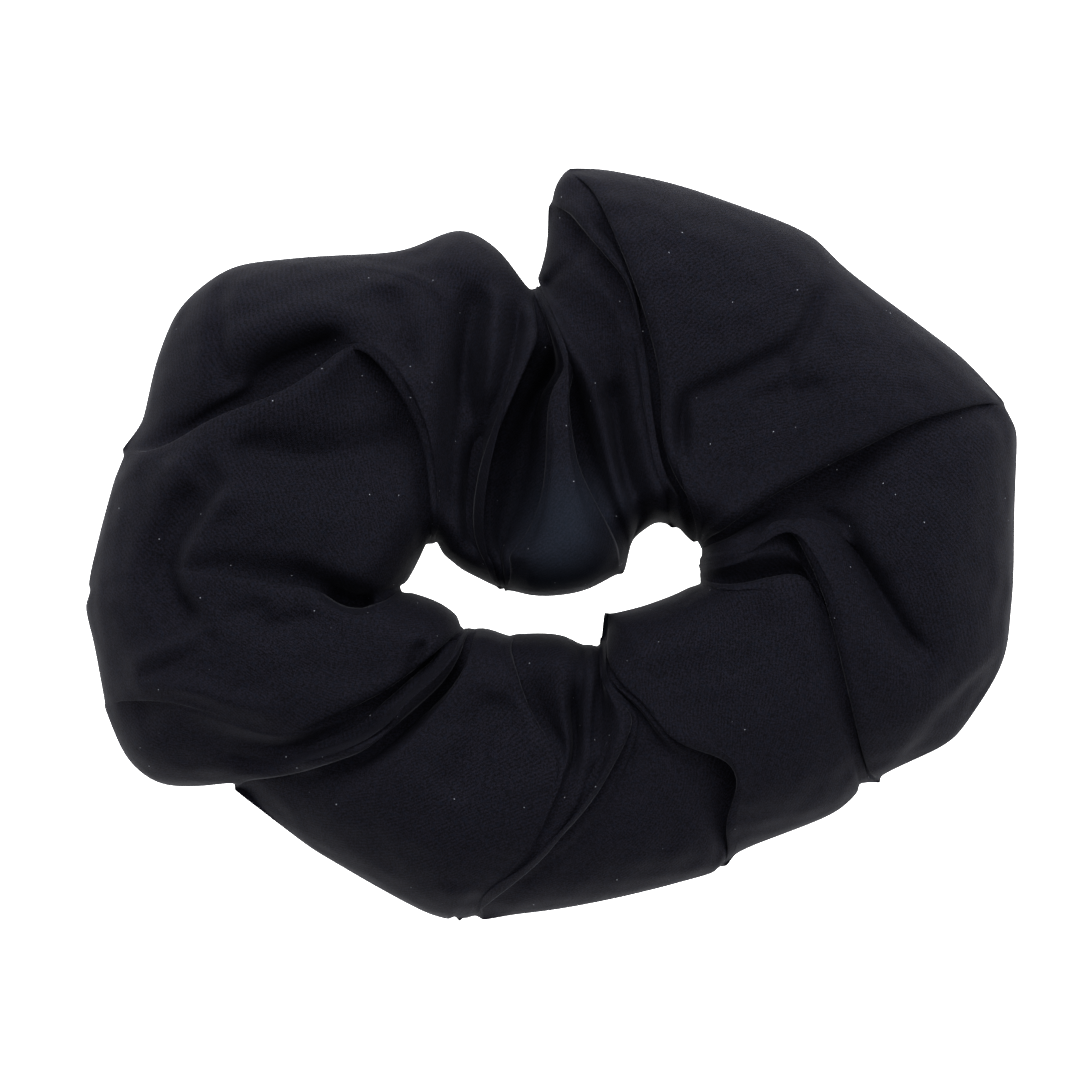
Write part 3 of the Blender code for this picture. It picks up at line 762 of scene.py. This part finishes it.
    def top(self, place: Array, height: Array, outward: Array, holeward: Array) -> Array:
        """Lifts the rows onto the soft outer form.

        The form rises from the rim and from the hair opening along quarter ellipses: with d the distance
        to the outline and w the rise's width, its height share is sqrt(1 - (1 - d/w)^2). Heights above it
        point up on the crown and turn outward towards both edges.

        Args:
            place: (rows, steps, 2) places seen from above.
            height: (rows, steps) heights above the form.
            outward: (rows, 2) directions out of the rim.
            holeward: (rows, 2) directions into the hair opening.

        Returns:
            (rows, steps, 3) points.
        """
        inner, outer = self.outlines()
        flat = place.reshape(-1, 2)
        to_outer = distance_to(flat, outer)[0].reshape(place.shape[:2])
        to_inner = distance_to(flat, inner)[0].reshape(place.shape[:2])
        lean_out = 1 - np.clip(to_outer / self.outer_rise, 0, 1)
        lean_in = 1 - np.clip(to_inner / self.inner_rise, 0, 1)
        swell = np.sqrt(1 - lean_out**2) * np.sqrt(1 - lean_in**2)
        z = self.rim_height + (self.crown_height - self.rim_height) * swell
        sideways = outward[:, None] * lean_out[..., None] ** 2 + holeward[:, None] * lean_in[..., None] ** 2
        shifted = place + (self.rim_swell + self.turn_out * height[..., None]) * sideways
        return np.concatenate([shifted, (z + height * swell)[..., None]], axis=2)

    def side(self, edge: Array, height: Array, outward: Array, tuck: float) -> Array:
        """The wall from an edge down to the floor: a quarter ellipse that curls in under the edge.

        Args:
            edge: (rows, 3) points of the top's edge.
            height: (rows,) heights of the edge above the soft form, which the wall takes back.
            outward: (rows, 2) directions out of the edge.
            tuck: how far the wall curls in.

        Returns:
            (rows, side_steps, 3) points, from the edge down.
        """
        turn = np.linspace(0, math.pi / 2, self.side_steps + 1)[1:]
        inset = tuck * (1 - np.cos(turn))
        z = self.rim_height * (1 - np.sin(turn))
        base = edge[:, None, :2] - outward[:, None] * inset[None, :, None]
        z_all = np.broadcast_to(z, base.shape[:2]) - height[:, None] * np.sin(turn)[None]
        return np.concatenate([base, z_all[..., None]], axis=2)

    def surface(self) -> Array:
        """The whole strip as a grid: (round the ring, across the strip, 3), in mm."""
        place, height, away, folded = self.between(*self.lines())
        outward = place[:, -1] - place[:, -self.wall_reach]
        holeward = place[:, 0] - place[:, self.wall_reach]
        for _ in range(self.even_rows):
            outward = (np.roll(outward, 1, 0) + outward + np.roll(outward, -1, 0)) / 3
            holeward = (np.roll(holeward, 1, 0) + holeward + np.roll(holeward, -1, 0)) / 3
        outward /= np.linalg.norm(outward, axis=1, keepdims=True)
        holeward /= np.linalg.norm(holeward, axis=1, keepdims=True)
        top = self.top(place, height, outward, holeward)
        outer_wall = self.side(top[:, -1], height[:, -1], outward, self.outer_tuck)
        inner_wall = self.side(top[:, 0], height[:, 0], holeward, self.inner_tuck)[:, ::-1]
        share = np.linspace(0, 1, 2 * self.floor_steps + 1)[1:-1, None]
        seam = self.floor_steps - 1
        begin, end = outer_wall[:, -1, None], inner_wall[:, 0, None]
        floor = begin * (1 - share[None]) + end * share[None]
        up = np.linspace(1, 0, self.allowance_steps, endpoint=False)[None, :, None] * self.allowance
        stand = np.array([0.0, 0.0, 1.0])
        join = floor[:, seam, None]
        inner_flap = join + up * stand
        outer_flap = inner_flap[:, ::-1]
        grid = np.concatenate(
            [
                inner_flap,
                join,
                floor[:, seam + 1 :],
                inner_wall,
                top,
                outer_wall,
                floor[:, :seam],
                join,
                outer_flap,
            ],
            axis=1,
        )
        of_row = self.sharp_freedom + (1 - self.sharp_freedom) * smoothstep(away / self.sharp_rows)
        hidden = np.ones(grid.shape[1])
        first = self.allowance_steps + self.floor_steps + self.side_steps
        fade = 1 - smoothstep(np.arange(self.top_steps) / self.hidden_steps)
        hidden[first : first + self.top_steps] = np.maximum(fade, fade[::-1])
        freedom = np.maximum(of_row[:, None], self.hidden_freedom * hidden[None] * folded[:, None])
        return smooth_across(smooth_round(grid, self.round_passes, freedom), self.across_passes)

    def pressed(self, grid: Array) -> Array:
        """Presses the creases into the top, each a dent exp(-(d/w)^1.6) that fades at its ends.

        A one-sided crease is a step: an even S over its width, which dies away as exp(-(d/6w)^4).

        Args:
            grid: (rows, columns, 3) points of the strip.

        Returns:
            The pressed grid.
        """
        xy = grid[..., :2].reshape(-1, 2)
        z = grid[..., 2].reshape(-1)
        top = smoothstep((z - self.rim_height) / self.press_height)
        push = np.zeros_like(z)
        for crease in CREASES:
            route = smooth_route(np.array(crease.route, dtype=float), 6)
            margin = (self.step_reach if crease.one_sided else self.dent_reach) * crease.width
            low, high = route.min(axis=0) - margin, route.max(axis=0) + margin
            near = np.flatnonzero(((xy > low) & (xy < high)).all(axis=1) & (top > 0))
            away, share, side = distance_to(xy[near], route)
            profile = np.exp(-((away / crease.width) ** 1.6))
            if crease.one_sided:
                profile = np.where(side < 0, smoothstep(away / crease.width), 0.0)
                profile *= np.exp(-((away / (self.step_width * crease.width)) ** 4))
            fade = smoothstep(share / self.press_fade) * smoothstep((1 - share) / self.press_fade)
            push[near] += self.press * crease.depth * profile * fade
        grid = grid.copy()
        grid[..., 2] += (push * top).reshape(grid.shape[:2])
        return grid

    def build(self) -> tuple[bpy.types.Object, Array, Array]:
        """Makes the cover's mesh.

        Routes are drawn as the eye sees them, so each point moves towards the eye's line by how much
        higher it lies than the plane the routes are drawn on.

        Returns:
            The cover, the route of its long seam, and the section round which its closing seam runs.
        """
        grid = self.pressed(self.surface())
        freedom = np.full(grid.shape[:2], self.last_freedom)
        grid = smooth_across(smooth_round(grid, self.last_passes, freedom), 1)
        nearer = (EYE[2] - grid[..., 2:]) / (EYE[2] - SEEN_AT)
        grid[..., :2] = np.array(EYE[:2]) + (grid[..., :2] - np.array(EYE[:2])) * nearer
        uneven = ripples(
            grid, self.ripple_seed, self.ripple_waves, self.ripple_shortest, self.ripple_longest
        )
        grid[..., 2] += self.ripple * uneven
        grid[..., 2] = np.maximum(grid[..., 2], self.clearance)
        rows, columns = grid.shape[:2]
        log.info("cover grid %d x %d", rows, columns)
        faces = grid_faces(rows, columns, True, False)
        obj = new_mesh_object("cover", grid.reshape(-1, 3), faces)
        self.unroll(obj, grid)
        # Paints light on the tongue beside the hair opening, as a point attribute.
        self.painted_light_mask(obj, grid)
        long_seam = grid[:: self.seam_every, self.allowance_steps]
        rim = self.allowance_steps + self.floor_steps + self.side_steps + self.top_steps
        at_left = np.where(grid[:, rim, 0] < 0, np.abs(grid[:, rim, 1] - self.closing_at), np.inf)
        section = grid[int(np.argmin(at_left)), self.allowance_steps : -self.allowance_steps - 1]
        return obj, long_seam, section

    def painted_light_mask(self, obj: bpy.types.Object, grid: Array) -> None:
        """Marks how much painted light the cloth gets, as a point attribute: exp(-(d/w)^2) from each patch's
        route.

        Args:
            obj: the cover.
            grid: (rows, columns, 3) points of the strip.
        """
        painted_light = np.zeros(len(obj.data.vertices))
        for patch in PAINTED_LIGHT:
            away = distance_to(grid[..., :2].reshape(-1, 2), np.array(patch.route))[0]
            painted_light = np.maximum(painted_light, np.exp(-((away / patch.width) ** 2)))
        # The point attribute carries the painted light.
        layer = obj.data.attributes.new("painted_light", "FLOAT", "POINT")
        layer.data.foreach_set("value", painted_light.astype(np.float32))

    def unroll(self, obj: bpy.types.Object, grid: Array) -> None:
        """Gives the cover a UV map in millimetres of cloth: along the ring, and across the strip.

        Args:
            obj: the cover.
            grid: (rows, columns, 3) points of the strip.
        """
        rows, columns = grid.shape[:2]
        along_step = np.linalg.norm(np.roll(grid, -1, axis=0) - grid, axis=2).mean(axis=1)
        along = np.concatenate([[0.0], np.cumsum(along_step)])
        across_step = np.linalg.norm(np.diff(grid, axis=1), axis=2)
        across = np.concatenate([np.zeros((rows, 1)), np.cumsum(across_step, axis=1)], axis=1)
        across -= across.mean(axis=1, keepdims=True)
        faces = grid_faces(rows, columns, True, False)
        row, column = faces // columns, faces % columns
        last = (row == 0) & (faces[:, :1] // columns == rows - 1)
        u = np.where(last, along[-1], along[row])
        v = across[row, column]
        layer = obj.data.uv_layers.new(name="cloth_mm")
        layer.data.foreach_set("uv", np.stack([u, v], axis=-1).astype(np.float32).ravel())


def tube(points: Array, radius: float, sides: int, reference: Point3, closed: bool) -> tuple[Array, Array]:
    """A round tube along a line.

    Each ring lies across the line's tangent, turned to a direction that the tangent never follows.

    Args:
        points: (n, 3) middle line in mm.
        radius: of the tube in mm.
        sides: points in a ring.
        reference: a direction that stays well away from the tangent.
        closed: whether the line returns to its start.

    Returns:
        Points and quads, open at the two ends of a line that isn't closed.
    """
    tangent = np.roll(points, -1, axis=0) - np.roll(points, 1, axis=0)
    if not closed:
        tangent[0], tangent[-1] = points[1] - points[0], points[-1] - points[-2]
    tangent /= np.linalg.norm(tangent, axis=1, keepdims=True)
    first = np.cross(tangent, np.array(reference))
    first /= np.linalg.norm(first, axis=1, keepdims=True)
    second = np.cross(tangent, first)
    turn = np.linspace(0, 2 * math.pi, sides, endpoint=False)
    ring = np.cos(turn)[None, :, None] * first[:, None] + np.sin(turn)[None, :, None] * second[:, None]
    return (points[:, None] + radius * ring).reshape(-1, 3), grid_faces(len(points), sides, closed, True)


@dataclass
class ElasticLoop:
    """The flat braided elastic inside the cover, and the thread wound over its lapped join."""

    centre: Point = (0.5, -5.5)
    half_length: float = 28.5
    half_width: float = 15.0
    front_height: float = 12.0
    back_sag: float = 8.0  # how much lower the band lies behind the hair opening, under the deepest folds
    width: float = 6.0
    thickness: float = 1.0
    cords: int = 7  # raised cords of the braid, side by side across the band
    lap: float = 10.0
    lap_gap: float = 0.3
    steps: int = 420
    join_turns: int = 6
    join_length: float = 7.0
    thread: float = 0.15
    points_per_cord: int = 12
    cord_height: float = 0.12
    points_per_wind: int = 24  # of the join's thread
    mean_radius: float = 22.0  # of the loop seen from above, which sets the braid's scale

    def path(self, angle: Array, outward: Array) -> Array:
        """Points beside the loop's middle line, which is an ellipse seen from above.

        Args:
            angle: round the ellipse, in radians.
            outward: how far out along its normal, in mm.

        Returns:
            (..., 3) points.
        """
        normal = np.stack([np.cos(angle) / self.half_length, np.sin(angle) / self.half_width], axis=-1)
        normal /= np.linalg.norm(normal, axis=-1, keepdims=True)
        x = self.centre[0] + self.half_length * np.cos(angle) + outward * normal[..., 0]
        y = self.centre[1] + self.half_width * np.sin(angle) + outward * normal[..., 1]
        z = self.front_height - self.back_sag * smoothstep(0.5 + 0.5 * np.sin(angle))
        return np.stack([x, y, z], axis=-1)

    def build_band(self) -> bpy.types.Object:
        """Makes the band: a ribbon on its edge whose two ends lie on each other at the front.

        Its section is a flattened superellipse, on which a cosine across the width raises the cords.

        Returns:
            The band, with a UV map in millimetres.
        """
        lap_turn = self.lap / self.half_length
        turn = 2 * math.pi + lap_turn
        share = np.linspace(0.0, 1.0, self.steps)
        angle = -math.pi / 2 - lap_turn / 2 + share * turn
        ease_in = np.clip(2.0 - share * turn / lap_turn, 0, 1)
        ease_out = np.clip(2.0 - (1 - share) * turn / lap_turn, 0, 1)
        outward = 0.5 * (self.thickness + self.lap_gap) * (ease_out - ease_in)
        sides = self.points_per_cord * self.cords
        round_turn = np.linspace(0, 2 * math.pi, sides, endpoint=False)
        up = np.sin(round_turn)
        up = 0.5 * self.width * np.sign(up) * np.abs(up) ** 0.9
        cord = self.cord_height * np.cos(2 * math.pi * self.cords * up / self.width)
        out = np.cos(round_turn)
        out = np.sign(out) * np.abs(out) ** 0.35 * (0.5 * self.thickness - self.cord_height + cord)
        line = self.path(angle[:, None] + 0 * out[None], outward[:, None] + out[None])
        line[..., 2] += up[None]
        faces = grid_faces(self.steps, sides, False, True)
        obj = new_mesh_object("elastic_loop", line.reshape(-1, 3), faces)
        layer = obj.data.uv_layers.new(name="band_mm")
        row, column = faces // sides, faces % sides
        uv = np.stack([share[row] * turn * self.mean_radius, up[column]], axis=-1)
        layer.data.foreach_set("uv", uv.astype(np.float32).ravel())
        return obj

    def build_join(self) -> bpy.types.Object:
        """Makes the join's thread: a squared spiral wound round both layers of the lap.

        Returns:
            The thread.
        """
        turn = np.linspace(0, 2 * math.pi * self.join_turns, self.points_per_wind * self.join_turns + 1)
        half_out = self.thickness + self.lap_gap / 2 + 2 * self.thread
        half_up = self.width / 2 + 2 * self.thread
        out = np.sign(np.cos(turn)) * np.abs(np.cos(turn)) ** 0.5 * half_out
        up = np.sign(np.sin(turn)) * np.abs(np.sin(turn)) ** 0.5 * half_up
        along = (turn / turn[-1] - 0.5) * self.join_length / self.half_length
        line = self.path(-math.pi / 2 + along, out)
        line[:, 2] += up
        points, faces = tube(line, self.thread, THREAD_SIDES, (1.0, 0.0, 0.0), False)
        return new_mesh_object("elastic_join_thread", points, faces)


@dataclass
class Seams:
    """The threads of the cover's two seams, both inside it."""

    thread: float = 0.15
    stitch: float = 2.5
    above_fold: float = 1.2  # how far the long seam's stitches lie from the cover's underside
    inside: float = 0.9  # how far the closing stitches lie inside the cover
    weave: float = 0.45  # how far the long seam's thread passes to each side of the allowances
    sharpness: float = 3.0  # of its passage from one side to the other
    long_points: int = 900
    closing_points: int = 240

    def build_long(self, route: Array) -> bpy.types.Object:
        """Makes the long seam's thread, which passes through the two allowances stitch by stitch.

        Args:
            route: (n, 3) points of the closed seam on the cover's underside.

        Returns:
            The thread.
        """
        shares = np.linspace(0, 1, self.long_points, endpoint=False)
        line = resample(np.vstack([route, route[:1]]), shares)
        steps = np.linalg.norm(np.roll(line, -1, axis=0) - line, axis=1)
        stitches = round(steps.sum() / (2 * self.stitch))
        turn = 2 * math.pi * stitches * np.arange(len(line)) / len(line)
        tangent = np.roll(line, -4, axis=0) - np.roll(line, 4, axis=0)
        side = np.cross(tangent, (0.0, 0.0, 1.0))
        side /= np.linalg.norm(side, axis=1, keepdims=True)
        line = line + self.weave * np.tanh(self.sharpness * np.sin(turn))[:, None] * side
        line[:, 2] += self.above_fold
        points, faces = tube(line, self.thread, THREAD_SIDES, (0.0, 0.0, 1.0), True)
        return new_mesh_object("long_seam_thread", points, faces)

    def build_closing(self, section: Array) -> bpy.types.Object:
        """Makes the closing seam's thread, a loop just inside the cover across the tube.

        Args:
            section: (n, 3) points of the cover round the tube.

        Returns:
            The thread.
        """
        shares = np.linspace(0, 1, self.closing_points, endpoint=False)
        line = resample(np.vstack([section, section[:1]])[:, [0, 2, 1]], shares)[:, [0, 2, 1]]
        tangent = np.roll(line, -3, axis=0) - np.roll(line, 3, axis=0)
        inward = np.stack([tangent[:, 2], 0 * tangent[:, 2], -tangent[:, 0]], axis=1)
        inward /= np.linalg.norm(inward, axis=1, keepdims=True)
        middle = line.mean(axis=0)
        facing = np.sign(((middle - line) * inward).sum(axis=1).mean())
        line = line + facing * self.inside * inward
        points, faces = tube(line, self.thread, THREAD_SIDES, (0.0, 1.0, 0.0), True)
        return new_mesh_object("closing_seam_loop", points, faces)


@dataclass(frozen=True)
class BraidedElastic:
    """Black braided elastic: rubber cords under polyester yarn, crossed in a fine slanting braid."""

    yarn: str = "#26262b"
    valley: str = "#0e0e11"
    roughness: float = 0.7

    def make(self) -> bpy.types.Material:
        """Builds the material, whose braid is a slanting wave on the band's own map in millimetres.

        Returns:
            The material.
        """
        material = bpy.data.materials.new("braided_black_elastic")
        material.use_nodes = True
        tree = material.node_tree
        shader = tree.nodes["Principled BSDF"]
        band = add_node(tree, "ShaderNodeUVMap", {"uv_map": "band_mm"}).outputs["UV"]
        braid = add_node(
            tree, "ShaderNodeTexWave", {"bands_direction": "DIAGONAL"},
            Vector=band, Scale=0.9, Distortion=0.5,
        )
        colour = add_node(
            tree, "ShaderNodeMix", {"data_type": "RGBA"},
            Factor=braid.outputs["Fac"], i6=linear(self.valley), i7=linear(self.yarn),
        )
        height = add_node(
            tree, "ShaderNodeBump", Height=braid.outputs["Fac"], Strength=0.6, Distance=0.0001
        )
        tree.links.new(colour.outputs[2], shader.inputs["Base Color"])
        tree.links.new(height.outputs["Normal"], shader.inputs["Normal"])
        shader.inputs["Roughness"].default_value = self.roughness
        return material


@dataclass(frozen=True)
class PolyesterThread:
    """Navy polyester sewing thread: a slight lustre on a tight twist."""

    colour: str = "#1b1d2b"
    roughness: float = 0.5

    def make(self) -> bpy.types.Material:
        """Builds the material.

        Returns:
            The material.
        """
        material = bpy.data.materials.new("navy_polyester_thread")
        material.use_nodes = True
        shader = material.node_tree.nodes["Principled BSDF"]
        shader.inputs["Base Color"].default_value = linear(self.colour)
        shader.inputs["Roughness"].default_value = self.roughness
        return material


@dataclass(frozen=True)
class CrepeKnit:
    """Navy-black polyester crepe knit: matt, with fine slanting ribs and a pale bloom at grazing angles."""

    dark: str = "#0a0a0d"
    light: str = "#1b1a23"
    blue: str = "#101723"
    # painted light: the paler, bluer colour painted on the tongue beside the lit hair opening
    painted_light: str = "#202a36"
    lint: str = "#9a9ea8"
    bloom: str = "#c9ccda"
    rib: float = 0.34  # mm from rib to rib
    slant: float = 0.6  # radians between the ribs and the strip
    rib_share: float = 0.12  # how much the ribs count beside the pebbles
    grains: float = 5.0  # of the crepe's pebbles in 1 mm
    flecks: float = 2.3  # of bluer yarn in 1 mm
    fleck_share: float = 0.45  # of the blue in the middle of a fleck
    painted_light_share: float = 0.28  # of the painted light's colour where it is strongest
    lint_grid: float = 0.42  # of lint's cells in 1 mm
    lint_edge: float = 0.036  # radius of a speck of lint, as a share of a cell
    lint_heart: float = 0.018  # radius within which it is at its palest
    lint_share: float = 0.9
    roughness: float = 0.9
    specular: float = 0.05
    sheen: float = 0.06
    sheen_roughness: float = 0.2

    def make(self) -> bpy.types.Material:
        """Builds the material: pebbles and ribs, bluer flecks, painted light on the tongue and lint, in that
        order.

        Returns:
            The material.
        """
        material = bpy.data.materials.new("navy_crepe_knit")
        material.use_nodes = True
        tree = material.node_tree
        shader = tree.nodes["Principled BSDF"]
        cloth = add_node(tree, "ShaderNodeUVMap", {"uv_map": "cloth_mm"}).outputs["UV"]
        turned = add_node(
            tree, "ShaderNodeMapping", Vector=cloth, Rotation=(0.0, 0.0, self.slant)
        ).outputs["Vector"]
        ribs = add_node(
            tree,
            "ShaderNodeTexWave",
            {"wave_type": "BANDS", "bands_direction": "X"},
            Vector=turned,
            Scale=2 * math.pi / (20 * self.rib),
            Distortion=2.0,
            Detail=3.0,
            Detail_Scale=2.5,
        )
        place = add_node(tree, "ShaderNodeTexCoord").outputs["Object"]
        grain = add_node(
            tree, "ShaderNodeTexNoise", Vector=place, Scale=self.grains / MM, Detail=1.0, Roughness=0.7
        )
        mixed = add_node(
            tree, "ShaderNodeMath", {"operation": "MULTIPLY_ADD"},
            i0=ribs.outputs["Fac"], i1=self.rib_share, i2=grain.outputs["Fac"],
        )
        weave = add_node(
            tree, "ShaderNodeMapRange", Value=mixed.outputs[0], From_Min=0.4, From_Max=0.76
        )
        colour = add_node(
            tree, "ShaderNodeMix", {"data_type": "RGBA"},
            Factor=weave.outputs["Result"], i6=linear(self.dark), i7=linear(self.light),
        )
        fleck = add_node(tree, "ShaderNodeTexNoise", Vector=place, Scale=self.flecks / MM, Detail=2.0)
        bluer = add_node(
            tree, "ShaderNodeMapRange",
            Value=fleck.outputs["Fac"], From_Min=0.5, From_Max=0.75, To_Max=self.fleck_share,
        )
        flecked = add_node(
            tree, "ShaderNodeMix", {"data_type": "RGBA"},
            Factor=bluer.outputs["Result"], i6=colour.outputs[2], i7=linear(self.blue),
        )
        # Painted light: the tongue beside the lit hair opening is mixed towards a paler, bluer colour.
        painted_light_mask = add_node(tree, "ShaderNodeAttribute", {"attribute_name": "painted_light"})
        share = add_node(tree, "ShaderNodeMapRange", Value=painted_light_mask.outputs["Fac"], To_Max=self.painted_light_share)
        painted_light = add_node(
            tree, "ShaderNodeMix", {"data_type": "RGBA"},
            Factor=share.outputs["Result"], i6=flecked.outputs[2], i7=linear(self.painted_light),
        )
        speck = add_node(tree, "ShaderNodeTexVoronoi", Vector=place, Scale=self.lint_grid / MM)
        near = add_node(
            tree, "ShaderNodeMapRange", Value=speck.outputs["Distance"],
            From_Min=self.lint_edge, From_Max=self.lint_heart, To_Max=self.lint_share,
        )
        linted = add_node(
            tree, "ShaderNodeMix", {"data_type": "RGBA"},
            Factor=near.outputs["Result"], i6=painted_light.outputs[2], i7=linear(self.lint),
        )
        tree.links.new(linted.outputs[2], shader.inputs["Base Color"])
        height = add_node(
            tree, "ShaderNodeBump", Height=mixed.outputs[0], Strength=0.5, Distance=0.00006
        )
        tree.links.new(height.outputs["Normal"], shader.inputs["Normal"])
        shader.inputs["Roughness"].default_value = self.roughness
        shader.inputs["Specular IOR Level"].default_value = self.specular
        shader.inputs["Sheen Weight"].default_value = self.sheen
        shader.inputs["Sheen Roughness"].default_value = self.sheen_roughness
        shader.inputs["Sheen Tint"].default_value = linear(self.bloom)
        return material


@dataclass(frozen=True)
class Lamp:
    """A square soft light that points at the ring's middle: its place in metres and its power in watts."""

    name: str
    place: Point3
    power: float

    def hang(self, size: float) -> None:
        """Makes the light.

        Args:
            size: side of the square in metres.
        """
        lamp = bpy.data.lights.new(self.name, "AREA")
        lamp.size = size
        lamp.energy = self.power
        obj = bpy.data.objects.new(self.name, lamp)
        obj.location = self.place
        aim = np.array([0.0, 0.0, 0.0]) - np.array(self.place)
        obj.rotation_euler = Vector(aim).to_track_quat("-Z", "Y").to_euler()
        bpy.context.scene.collection.objects.link(obj)


@dataclass(frozen=True)
class Studio:
    """A sheet of lit acrylic for a floor, soft studio light, and the camera straight above."""

    sky: float = 0.06  # strength of the white world
    floor_reach: float = 2  # in metres, from the middle to each side
    floor_grey: float = 0.5
    floor_glow: float = 3.2
    floor_roughness: float = 0.9
    lamp_size: float = 0.5
    lamps: tuple[Lamp, ...] = (
        Lamp("key", (-0.05, 0.42, 0.5), 4.7),
        Lamp("above", (0.0, 0.0, 0.8), 0.9),
        Lamp("right", (0.42, 0.05, 0.45), 1.9),
        Lamp("left", (-0.42, 0.0, 0.45), 0.6),
    )
    sensor: float = 36.0
    view: float = 129.6  # width in mm of what the camera sees on the plane the routes are drawn on

    def build(self) -> None:
        """Makes the world, the floor, the lamps and the camera."""
        scene = bpy.context.scene
        scene.view_settings.view_transform = "Standard"
        world = bpy.data.worlds.new("studio")
        scene.world = world
        world.use_nodes = True
        world.node_tree.nodes["Background"].inputs["Color"].default_value = (1, 1, 1, 1)
        world.node_tree.nodes["Background"].inputs["Strength"].default_value = self.sky
        floor = self.build_floor()
        for lamp in self.lamps:
            lamp.hang(self.lamp_size)
        self.build_camera()

    def build_floor(self) -> bpy.types.Object:
        """Makes the floor.

        Returns:
            The floor, linked to the scene.
        """
        mesh = bpy.data.meshes.new("floor")
        r = self.floor_reach
        mesh.from_pydata([(-r, -r, 0), (r, -r, 0), (r, r, 0), (-r, r, 0)], [], [(0, 1, 2, 3)])
        floor = bpy.data.objects.new("floor", mesh)
        bpy.context.scene.collection.objects.link(floor)
        acrylic = bpy.data.materials.new("lit_white_acrylic")
        acrylic.use_nodes = True
        shader = acrylic.node_tree.nodes["Principled BSDF"]
        shader.inputs["Base Color"].default_value = (self.floor_grey, self.floor_grey, self.floor_grey, 1)
        shader.inputs["Roughness"].default_value = self.floor_roughness
        shader.inputs["Emission Color"].default_value = (1, 1, 1, 1)
        shader.inputs["Emission Strength"].default_value = self.floor_glow
        mesh.materials.append(acrylic)
        return floor

    def build_camera(self) -> None:
        """Makes the camera, whose lens takes in the view's width at the distance of the routes' plane."""
        camera = bpy.data.cameras.new("camera")
        camera.sensor_width = self.sensor
        camera.lens = camera.sensor_width * (EYE[2] - SEEN_AT) / self.view
        eye = bpy.data.objects.new("camera", camera)
        eye.location = Vector(EYE) * MM
        bpy.context.scene.collection.objects.link(eye)
        bpy.context.scene.camera = eye


def main() -> None:
    """Builds the pieces in order and reports each."""
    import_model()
    Studio().build()
    knit, elastic, thread = CrepeKnit().make(), BraidedElastic().make(), PolyesterThread().make()
    cover, long_seam, section = Cover().build()
    loop, seams = ElasticLoop(), Seams()
    pieces = (
        (cover, knit, Slot.COVER, ("cover_front", "cover_back")),
        (loop.build_band(), elastic, Slot.ELASTIC, ("elastic_band",)),
        (loop.build_join(), thread, Slot.THREAD, ("elastic_join_stitches",)),
        (seams.build_long(long_seam), thread, Slot.THREAD, ("tube_seam_thread",)),
        (seams.build_closing(section), thread, Slot.THREAD, ("closing_seam_thread",)),
    )
    for obj, material, slot, nodes in pieces:
        obj.data.materials.append(material)
        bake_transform(obj)
        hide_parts(*nodes)
        log.info("%s: %d faces, %s", obj.name, len(obj.data.polygons), material.name)


if __name__ == "__main__":
    main()
